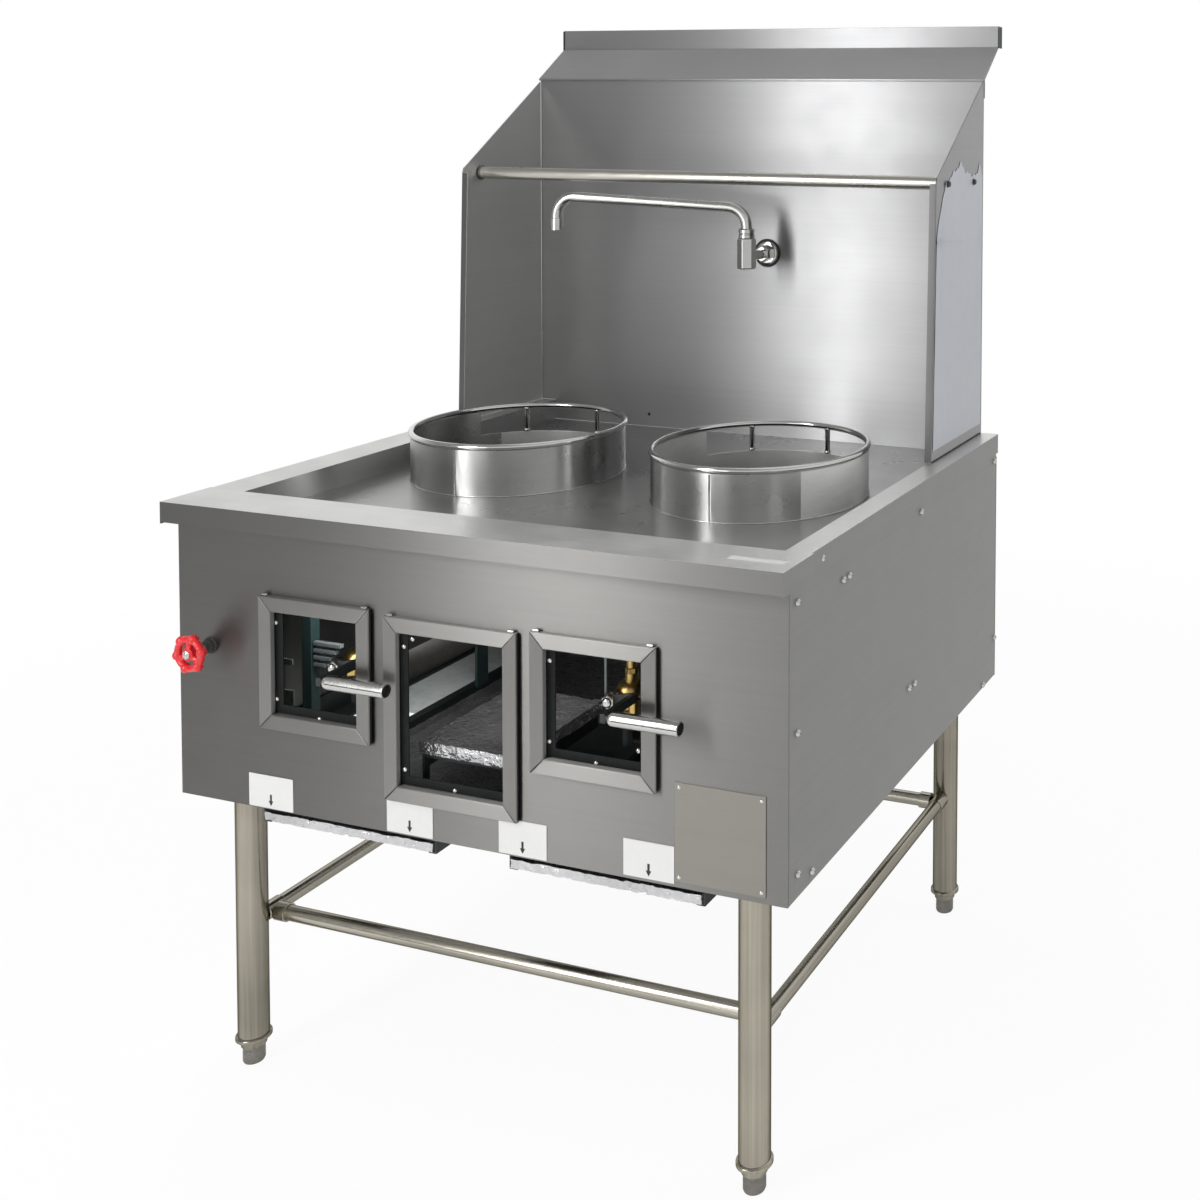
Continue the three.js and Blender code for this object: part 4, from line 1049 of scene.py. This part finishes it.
lumps = [close(start("torus", major_segments=48, minor_segments=12, major_radius=20.5 * MM,
                     minor_radius=5.3 * MM, location=wheel_centre, rotation=UPRIGHT_DISC))]
for angle in (math.radians(60 * k + 12) for k in range(6)):
    lumps.append(close(start("uv_sphere", segments=20, ring_count=12, radius=7.2 * MM,
                             location=on_wheel(angle, 21.8))))
for angle in (math.radians(120 * k + 90) for k in range(3)):
    lumps.append(close(start("cylinder", vertices=16, radius=4.4 * MM, depth=20 * MM,
                             location=on_wheel(angle, 11), rotation=(0, math.radians(90) - angle, 0))))
lumps.append(close(start("cylinder", vertices=32, radius=9.6 * MM, depth=12 * MM,
                         location=wheel_centre + Vector((0, 1.5 * MM, 0)), rotation=UPRIGHT_DISC)))
wheel = joined(lumps)
modified(wheel, "REMESH", mode="VOXEL", voxel_size=0.75 * MM)
modified(wheel, "SMOOTH", factor=0.5, iterations=5)
alone(wheel)
bpy.ops.object.shade_smooth()
stand_in(wheel, "hand_wheel", red_paint)
print("hand wheel faces", len(wheel.data.polygons))

# %% [markdown]
# A nut holds the wheel on its stem, and the stem comes out of a gland on the panel. Nut and stem turn with the
# wheel, and the gland stays with the cabinet.

# %% Wheel nut, stem and gland
nut = turned([(6.2, 0), (6.2, 2.2), (5.4, 2.8)], 6, wheel_centre + Vector((0, -4.5 * MM, 0)), FORWARD)
tip = turned([(3.6, 0), (3.4, 3.2), (2.4, 4.0)], 18, wheel_centre + Vector((0, -4.6 * MM, 0)), FORWARD)
settle(joined([shaded(nut, 30), shaded(tip, 40)]), "wheel_nut", polished, "wheel")
wheel_x, wheel_z = wheel_centre.x / MM, wheel_centre.z / MM
stem = turned([(3.8, 0), (3.8, 33)], 20, at(wheel_x, 1, wheel_z), FORWARD)
settle(shaded(stem, 40), "wheel_stem", satin, "wheel")
gland = turned([(12, 0), (12, 1.2), (9.5, 2.0), (9.5, 7), (8, 8), (4.6, 8)], 24, at(wheel_x, -0.1, wheel_z),
               FORWARD)
settle(shaded(gland, 30), "wheel_gland", cast_iron)
print("nut, stem and gland ready, open edges:", open_edges(gland))

# %% [markdown]
# A gas lever is a bent black arm with a bright tube pushed over its end. The tube is rolled from sheet, so
# a fine dark seam runs along it, and a plug closes its end. The arm is a box whose end face is extruded
# towards the grip, raised and narrowed.

# %% Gas levers
GRIP, GRIP_LONG = 9.5, 101      # radius and length of the grip in millimetres
GRIP_Y = -30                    # how far the grip's axis stands before the panel
GRIP_RISE = 8                   # how far it lies above the valve's spindle
GRIP_PROFILE = [(3, 0), (7, 1), (9, 3.4), (GRIP, 7), (GRIP, 100), (8.9, GRIP_LONG), (7.6, GRIP_LONG), (7.6, 90)]


def spindle(side_name):
    """X and height of a valve's spindle in millimetres."""
    low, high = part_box(f"gas_valve_{side_name}")
    return (low.x + high.x) / 2 / MM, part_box(f"gas_lever_{side_name}")[1].z / MM - GRIP - GRIP_RISE


def gas_lever(side_name):
    """The grip, arm and nut of one lever."""
    node, body = f"gas_lever_{side_name}", f"lever_{side_name}"
    x, z = spindle(side_name)
    grip_z, tip_x = z + GRIP_RISE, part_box(node)[1].x / MM
    root_x = tip_x - GRIP_LONG
    stand_in(shaded(turned(GRIP_PROFILE, 40, at(root_x, GRIP_Y, grip_z), RIGHTWARD), 40), node, satin)
    seam = close(box_between(at(root_x + 8, GRIP_Y - 9.62, grip_z + 0.5),
                             at(tip_x - 0.4, GRIP_Y - 9.2, grip_z + 1.5)))
    settle(seam, f"grip_seam_{side_name}", seal_black, body)
    plug = turned([(7.4, 0), (7.4, 1)], 24, at(tip_x - 9, GRIP_Y, grip_z), RIGHTWARD)
    settle(plug, f"grip_plug_{side_name}", seal_black, body)
    arm = box_between(at(x - 9, 34, z - 9), at(x + 9, 38, z + 9))
    pick(arm, lambda middle, facing: facing.x > 0.9)
    push(x=(root_x - 3 - (x + 9)) * MM)
    bpy.ops.transform.translate(value=(0, 0, GRIP_RISE * MM))
    bpy.ops.transform.resize(value=(1, 1, 0.75), center_override=at(root_x - 3, 36, grip_z))
    close(arm)
    out = close(box_between(at(root_x - 11, GRIP_Y - 5, grip_z - 6), at(root_x - 3, 38, grip_z + 6)))
    pin = turned([(5, 0), (5, 21)], 16, at(root_x - 9, GRIP_Y, grip_z), RIGHTWARD)
    settle(joined([shaded(bevelled(arm, 1.2)), shaded(bevelled(out, 1.2)), shaded(pin, 40)]),
           f"lever_arm_{side_name}", black_paint, body)
    cap = turned([(9.6, 0), (9.6, 6), (8.4, 7)], 6, at(x, 34, z), FORWARD)
    dome = turned([(7.4, 0), (7.0, 2), (5.4, 4), (2.6, 5.2)], 24, at(x, 28, z), FORWARD)
    boss = turned([(9.5, 0), (9.5, 9)], 28, at(x, 46.5, z), FORWARD)
    settle(joined([shaded(cap, 30), shaded(dome, 60), shaded(boss, 40)]), f"lever_nut_{side_name}",
           satin, body)


for side_name in ("left", "right"):
    gas_lever(side_name)
    print(side_name, "lever on its spindle at", [round(v, 1) for v in spindle(side_name)])

# %% [markdown]
# Behind each window the brass valve shows a tilted domed cap, a hexagon, a short side tube and a tall supply
# tube with its nut, which stands further right on the left valve. A dark tube feeds the valve from below.

# %% Gas valves
TUBE_OUT = {"left": 26, "right": 14}      # how far right of the spindle the supply tube stands


def gas_valve(side_name):
    """The brass valve of one lever and the tube that feeds it."""
    node = f"gas_valve_{side_name}"
    low_z, top_z = (corner.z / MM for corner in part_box(node))
    x, z = spindle(side_name)
    tube_x = x + TUBE_OUT[side_name]
    parts = [
        turned([(6.9, 0), (6.9, top_z - z - 36)], 24, at(tube_x, 64, z + 36)),
        turned([(7.4, 0), (9.0, 1.2), (9.0, 7), (7.4, 8.4)], 6, at(tube_x, 64, z + 28)),
        turned([(8.6, 0), (8.6, 12)], 24, at(tube_x, 64, z + 17)),
        turned([(18.5, 0), (18.5, 4), (17.2, 9), (13.6, 13.2), (8, 16), (2.5, 17)], 32, at(x + 10, 68, z + 1),
               (42, 0, 0)),
        turned([(13, 0), (15, 1.5), (15, 12), (13, 14)], 6, at(x + 6, 64, z - 20)),
        turned([(6.5, 0), (8, 2), (8, 24), (6.5, 26)], 24, at(x + 21, 58, z - 28)),
        turned([(9, 0), (9, 24)], 28, at(x, 70.7, z), FORWARD),
    ]
    stand_in(joined([shaded(bevelled(part, 0.5, 2, 30), 40) for part in parts]), node, brass)
    feed = turned([(7, 0), (7, z - 19 - low_z)], 24, at(x + 6, 66, low_z))
    settle(shaded(feed, 40), f"gas_feed_{side_name}", black_paint)


for side_name in ("left", "right"):
    gas_valve(side_name)
    print(side_name, "valve ready")

# %% [markdown]
# Foil is a sheet that has been crumpled and smoothed out again. A fine grid is laid out, walls are drawn up
# from its rim, and every point is then pushed a little by two octaves of noise. The board is a box, finely
# subdivided and crumpled the same way.

# %% Foil trays and foil board
PAD = 0.6 * MM         # how far the flat sheet stays inside the tray's box, as room for the crinkles
WALL_STEPS = 4
field.seed_set(7)      # the same crinkles in every run


def crinkled(piece, amount, scale, low, high):
    """Pushes every point by smooth noise, never past the solid's own box."""
    alone(piece)
    bpy.ops.object.transform_apply(location=True, rotation=True, scale=True)
    for point in piece.data.vertices:
        wide = field.noise_vector(point.co * scale)
        small = field.noise_vector(point.co * scale * 2.7)
        moved = point.co + (wide + small * 0.5) * amount
        point.co = Vector([min(max(moved[i], low[i]), high[i]) for i in range(3)])
    piece.data.update()
    return piece


for node in ("drip_tray_left", "drip_tray_right"):
    low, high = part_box(node)
    centre = (low + high) / 2
    tray = start("grid", x_subdivisions=60, y_subdivisions=130, size=1,
                 location=(centre.x, centre.y, low.z + PAD))
    bpy.ops.transform.resize(value=(high.x - low.x - 2 * PAD, high.y - low.y - 2 * PAD, 1),
                             center_override=tray.location)
    edge_x, edge_y = (high.x - low.x) / 2 - PAD * 1.5, (high.y - low.y) / 2 - PAD * 1.5
    pick(tray, lambda middle, facing: abs(middle.x - centre.x) > edge_x or abs(middle.y - centre.y) > edge_y,
         "edges")
    for _ in range(WALL_STEPS):
        push(z=(high.z - low.z - 2 * PAD) / WALL_STEPS)
    modified(close(tray), "SOLIDIFY", thickness=0.8 * MM, offset=0.0)
    stand_in(shaded(crinkled(tray, 1.5 * MM, 105, low, high), 60), node, foil)
low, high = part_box("foil_board")
board = box_between(low, high)
bpy.ops.mesh.subdivide(number_cuts=36)
bevelled(close(board), 2.2, 2, 60)
stand_in(shaded(crinkled(board, 2.6 * MM, 64, low, high), 60), "foil_board", foil)
print("foil ready, faces of tray and board:", len(tray.data.polygons), len(board.data.polygons))

# %% [markdown]
# The spout is one tube: up from the valve block, round a bend into the long arm, and round a second bend down
# to the mouth. A swivel carries it at the block, and a sleeve sits over its mouth.

# %% Spout
TUBE, BEND, DROP = 9.5 * MM, 34 * MM, 60 * MM
FAUCET_HUB = at(35, 712, 1171.3)          # middle of the swivel's lower face
ARM_Z, REACH = 1224 * MM, 350 * MM
BEARING = math.radians(192)               # where the arm points at rest
mouth_at = FAUCET_HUB + Vector((math.cos(BEARING), math.sin(BEARING), 0)) * REACH
bend_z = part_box("faucet_spout")[1].z - TUBE
mouth_z = bend_z - DROP
spout = piped([FAUCET_HUB + Vector((0, 0, 6 * MM)), Vector((FAUCET_HUB.x, FAUCET_HUB.y, ARM_Z)),
               Vector((mouth_at.x, mouth_at.y, bend_z)), Vector((mouth_at.x, mouth_at.y, mouth_z))],
              TUBE, BEND, 28, 10)
sleeve = turned([(9.9, 0), (11.1, 1), (11.1, 21), (10.1, 22.4)], 32, (mouth_at.x, mouth_at.y, mouth_z - 3 * MM))
swivel = turned([(13, 0), (14, 1), (14, 6), (12.6, 7), (12.6, 8.4), (14, 9.4), (14, 15), (11, 17)], 36, FAUCET_HUB)
stand_in(joined([shaded(spout, 50), shaded(sleeve, 40), shaded(swivel, 30)]), "faucet_spout", satin)
# The black disc at the mouth is painted shade, standing for the dark inside of the open tube.
mouth = turned([(7, 0), (7, 0.4)], 24, (mouth_at.x, mouth_at.y, mouth_z - 3.2 * MM))
settle(mouth, "spout_mouth", seal_black, "spout")
print("spout ready, open edges:", open_edges(spout))

# %% [markdown]
# The valve block is a hexagon bar that stands upright. A neck runs from it to the wall, where it goes through
# a hexagon collar and a round plate on a dark gasket. The gasket stands out wider than the plate: that rim is
# painted shadow, the plate's shade on the wall.

# %% Valve block
WRENCH = 29                                # width across the block's flats in millimetres
BLOCK_TALL = 55
hex_r = WRENCH / math.sqrt(3)
block_low = FAUCET_HUB.z - (0.3 + BLOCK_TALL) * MM
on_wall = (FAUCET_HUB.x, back_y - 0.3 * MM, 1138 * MM)
bar = turned([(hex_r - 1.5, 0), (hex_r, 2), (hex_r, BLOCK_TALL - 2), (hex_r - 1.5, BLOCK_TALL)], 6,
             (FAUCET_HUB.x, FAUCET_HUB.y, block_low))
neck = turned([(9, 0), (9, (on_wall[1] - FAUCET_HUB.y) / MM)], 28, on_wall, FORWARD)
flange = turned([(22, 0), (22, 2), (20.5, 4.5), (16, 6)], 44, on_wall, FORWARD)
collar = turned([(12.5, 4), (15.4, 5.5), (15.4, 22), (13.6, 24)], 6, on_wall, FORWARD)
# The gasket's wide dark rim is painted shadow round the plate.
gasket = turned([(26, 0), (26, 1.4)], 40, on_wall, FORWARD)
stand_in(joined([shaded(bevelled(bar, 0.9, 3, 30), 30), shaded(neck, 40), shaded(flange, 30),
                 shaded(bevelled(collar, 0.7, 3, 30), 30)]), "faucet_body", polished)
settle(shaded(gasket, 40), "faucet_gasket_and_shadow", seal_black)
print("valve block ready")

# %% [markdown]
# The rail is a plain tube between the wings, with a ring of weld at both ends.

# %% Pipe rail
low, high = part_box("pipe_rail")
rail_r = (high.z - low.z) / 2 / MM
rail = lying_bar(tube_profile(rail_r, (high.x - low.x) / MM, 0.8, 0.8), low, high, "x", 44)
stand_in(rail, "pipe_rail", rail_steel)
weld_ring = [(rail_r + 0.2, 0.2), (rail_r + 1.6, 1.2), (rail_r + 1.6, 2.6), (rail_r + 0.2, 4)]
settle(joined(end_rings(weld_ring, low, high, 40, 50)), "rail_welds", cast_foot)
print("rail ready, open edges:", open_edges(rail))

# %% [markdown]
# Small closing pieces: a bead of weld in each corner between wing and back, dark caps in the open ends of the
# splash-back's top, a sealed seam under the right wing, and plates that close the deck's hollow side rims at
# the rear.

# %% Corner welds, end caps, seam and rim ends
CAP = 1.2 * MM                             # thickness of the caps
BEAD_IN = 1.6 * MM                         # how far the beads stand in from the wings' outer faces
bead = [(1.5, 0), (1.5, (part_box("back_panel")[1].z - rim_z) / MM - 2)]
beads = [shaded(turned(bead, 12, (sign * (wing_x - BEAD_IN), back_y - 0.9 * MM, rim_z + 1 * MM)), 60)
         for sign in (-1, 1)]
settle(joined(beads), "corner_welds", satin)
low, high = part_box("backguard_top")
for side_name, x in (("left", low.x), ("right", high.x - CAP)):
    block(f"guard_end_{side_name}", Vector((x, high.y - 22 * MM, high.z - 39 * MM)),
          Vector((x + CAP, high.y - 1 * MM, high.z - 1.5 * MM)), black_paint, radius=0.3)
block("wing_seam", at(wing_mm - 1, 553, 836.9), at(wing_mm + 0.9, 786, 839), seal_black, radius=0.3)
for side_name, x0, x1 in (("left", -479.6, -452), ("right", 452, 479.6)):
    plate = bevelled(close(box_between(at(x0, 789.4, 799), at(x1, 790.8, 836.4))), 0.4)
    settle(grooved(shaded(plate)), f"rim_end_{side_name}", side_steel)
print("closing pieces ready")

# %% [markdown]
# The right wing still wears its protective film. It is a thin sheet that follows the wing, ends in a ragged
# line below the top, and is creased where it lifted. Its grid is laid out by share across and share up, and
# noise lifts it a little off the steel.

# %% Protective film
FILM_LOW = 855
FILM_TOP = ((0.0, 1196), (0.08, 1246), (0.18, 1281), (0.34, 1298), (0.5, 1313), (0.62, 1296), (0.86, 1289),
            (0.94, 1313), (1.0, 1283))     # share across the wing and height of the upper edge
REAR_EDGE, CREASE_Z = 785, 1188


def film_top(share):
    """Height of the film's ragged upper edge across the wing."""
    for (a, za), (b, zb) in zip(FILM_TOP, FILM_TOP[1:]):
        if a <= share <= b:
            return za + (zb - za) * (share - a) / (b - a) + 5 * math.sin(share * 61) * math.sin(share * 23)
    return FILM_TOP[-1][1]


film = start("grid", x_subdivisions=46, y_subdivisions=150, size=1, location=(0, 0, 0))
bpy.ops.object.mode_set(mode="OBJECT")
for point in film.data.vertices:
    share, up = point.co.x + 0.5, point.co.y + 0.5
    z = FILM_LOW + (film_top(share) - FILM_LOW) * up
    front_edge = 557 + 14 * (z - 837) / 447          # the wing's front edge leans back as it rises
    y = front_edge + (REAR_EDGE - front_edge) * share
    fold = field.noise(Vector((share * 9, z * 0.011, 1.7)))
    ripple = field.noise(Vector((share * 30, z * 0.05, 4.1)))
    crease = math.exp(-((z - CREASE_Z + 8 * share) / 1.8) ** 2)
    point.co = at(wing_mm + 0.55 + 0.28 * fold + 0.10 * ripple + 0.9 * crease, y, z)
film.data.update()
modified(film, "SOLIDIFY", thickness=0.15 * MM, offset=0.0)
settle(shaded(film, 60), "wing_film", film_blue)
print("film faces", len(film.data.polygons))

# %% [markdown]
# Through the windows the frame's insides show as dark shapes: a floor sheet beside the left tray that stops
# short and leaves a chink of light, a strap, a post, a ribbed casting, two small brackets and a thin tube.

# %% Shapes seen through the windows
block("inner_floor_left", at(-446, 326, 412.2), at(-347, 764, 413.4), dark_sheet, 0.3)
block("inner_strap", at(-333, 444, 414), at(-328, 472, 540), dark_post, radius=0.5)
block("inner_post", at(-456, 196, 449), at(-438, 214, 770), dark_post, radius=0.8)
RIB_PITCH = 11
ribs = [shaded(bevelled(close(box_between(at(-436, 198, 560 - RIB_PITCH * k),
                                          at(-384 - 10 * k, 206, 566 - RIB_PITCH * k))), 0.8))
        for k in range(4)]
settle(joined(ribs), "inner_ribs", grey_cast)
block("inner_bracket", at(-398, 98, 500), at(-376, 101, 534), grey_cast, 0.5)
block("inner_bracket_high", at(-398, 98, 572), at(-378, 101, 580), grey_cast, 0.5)
line = turned([(1.8, 0), (1.8, 96)], 14, at(181, 60, 606))
settle(shaded(line, 40), "pilot_tube", grey_cast)
print("inside shapes ready")
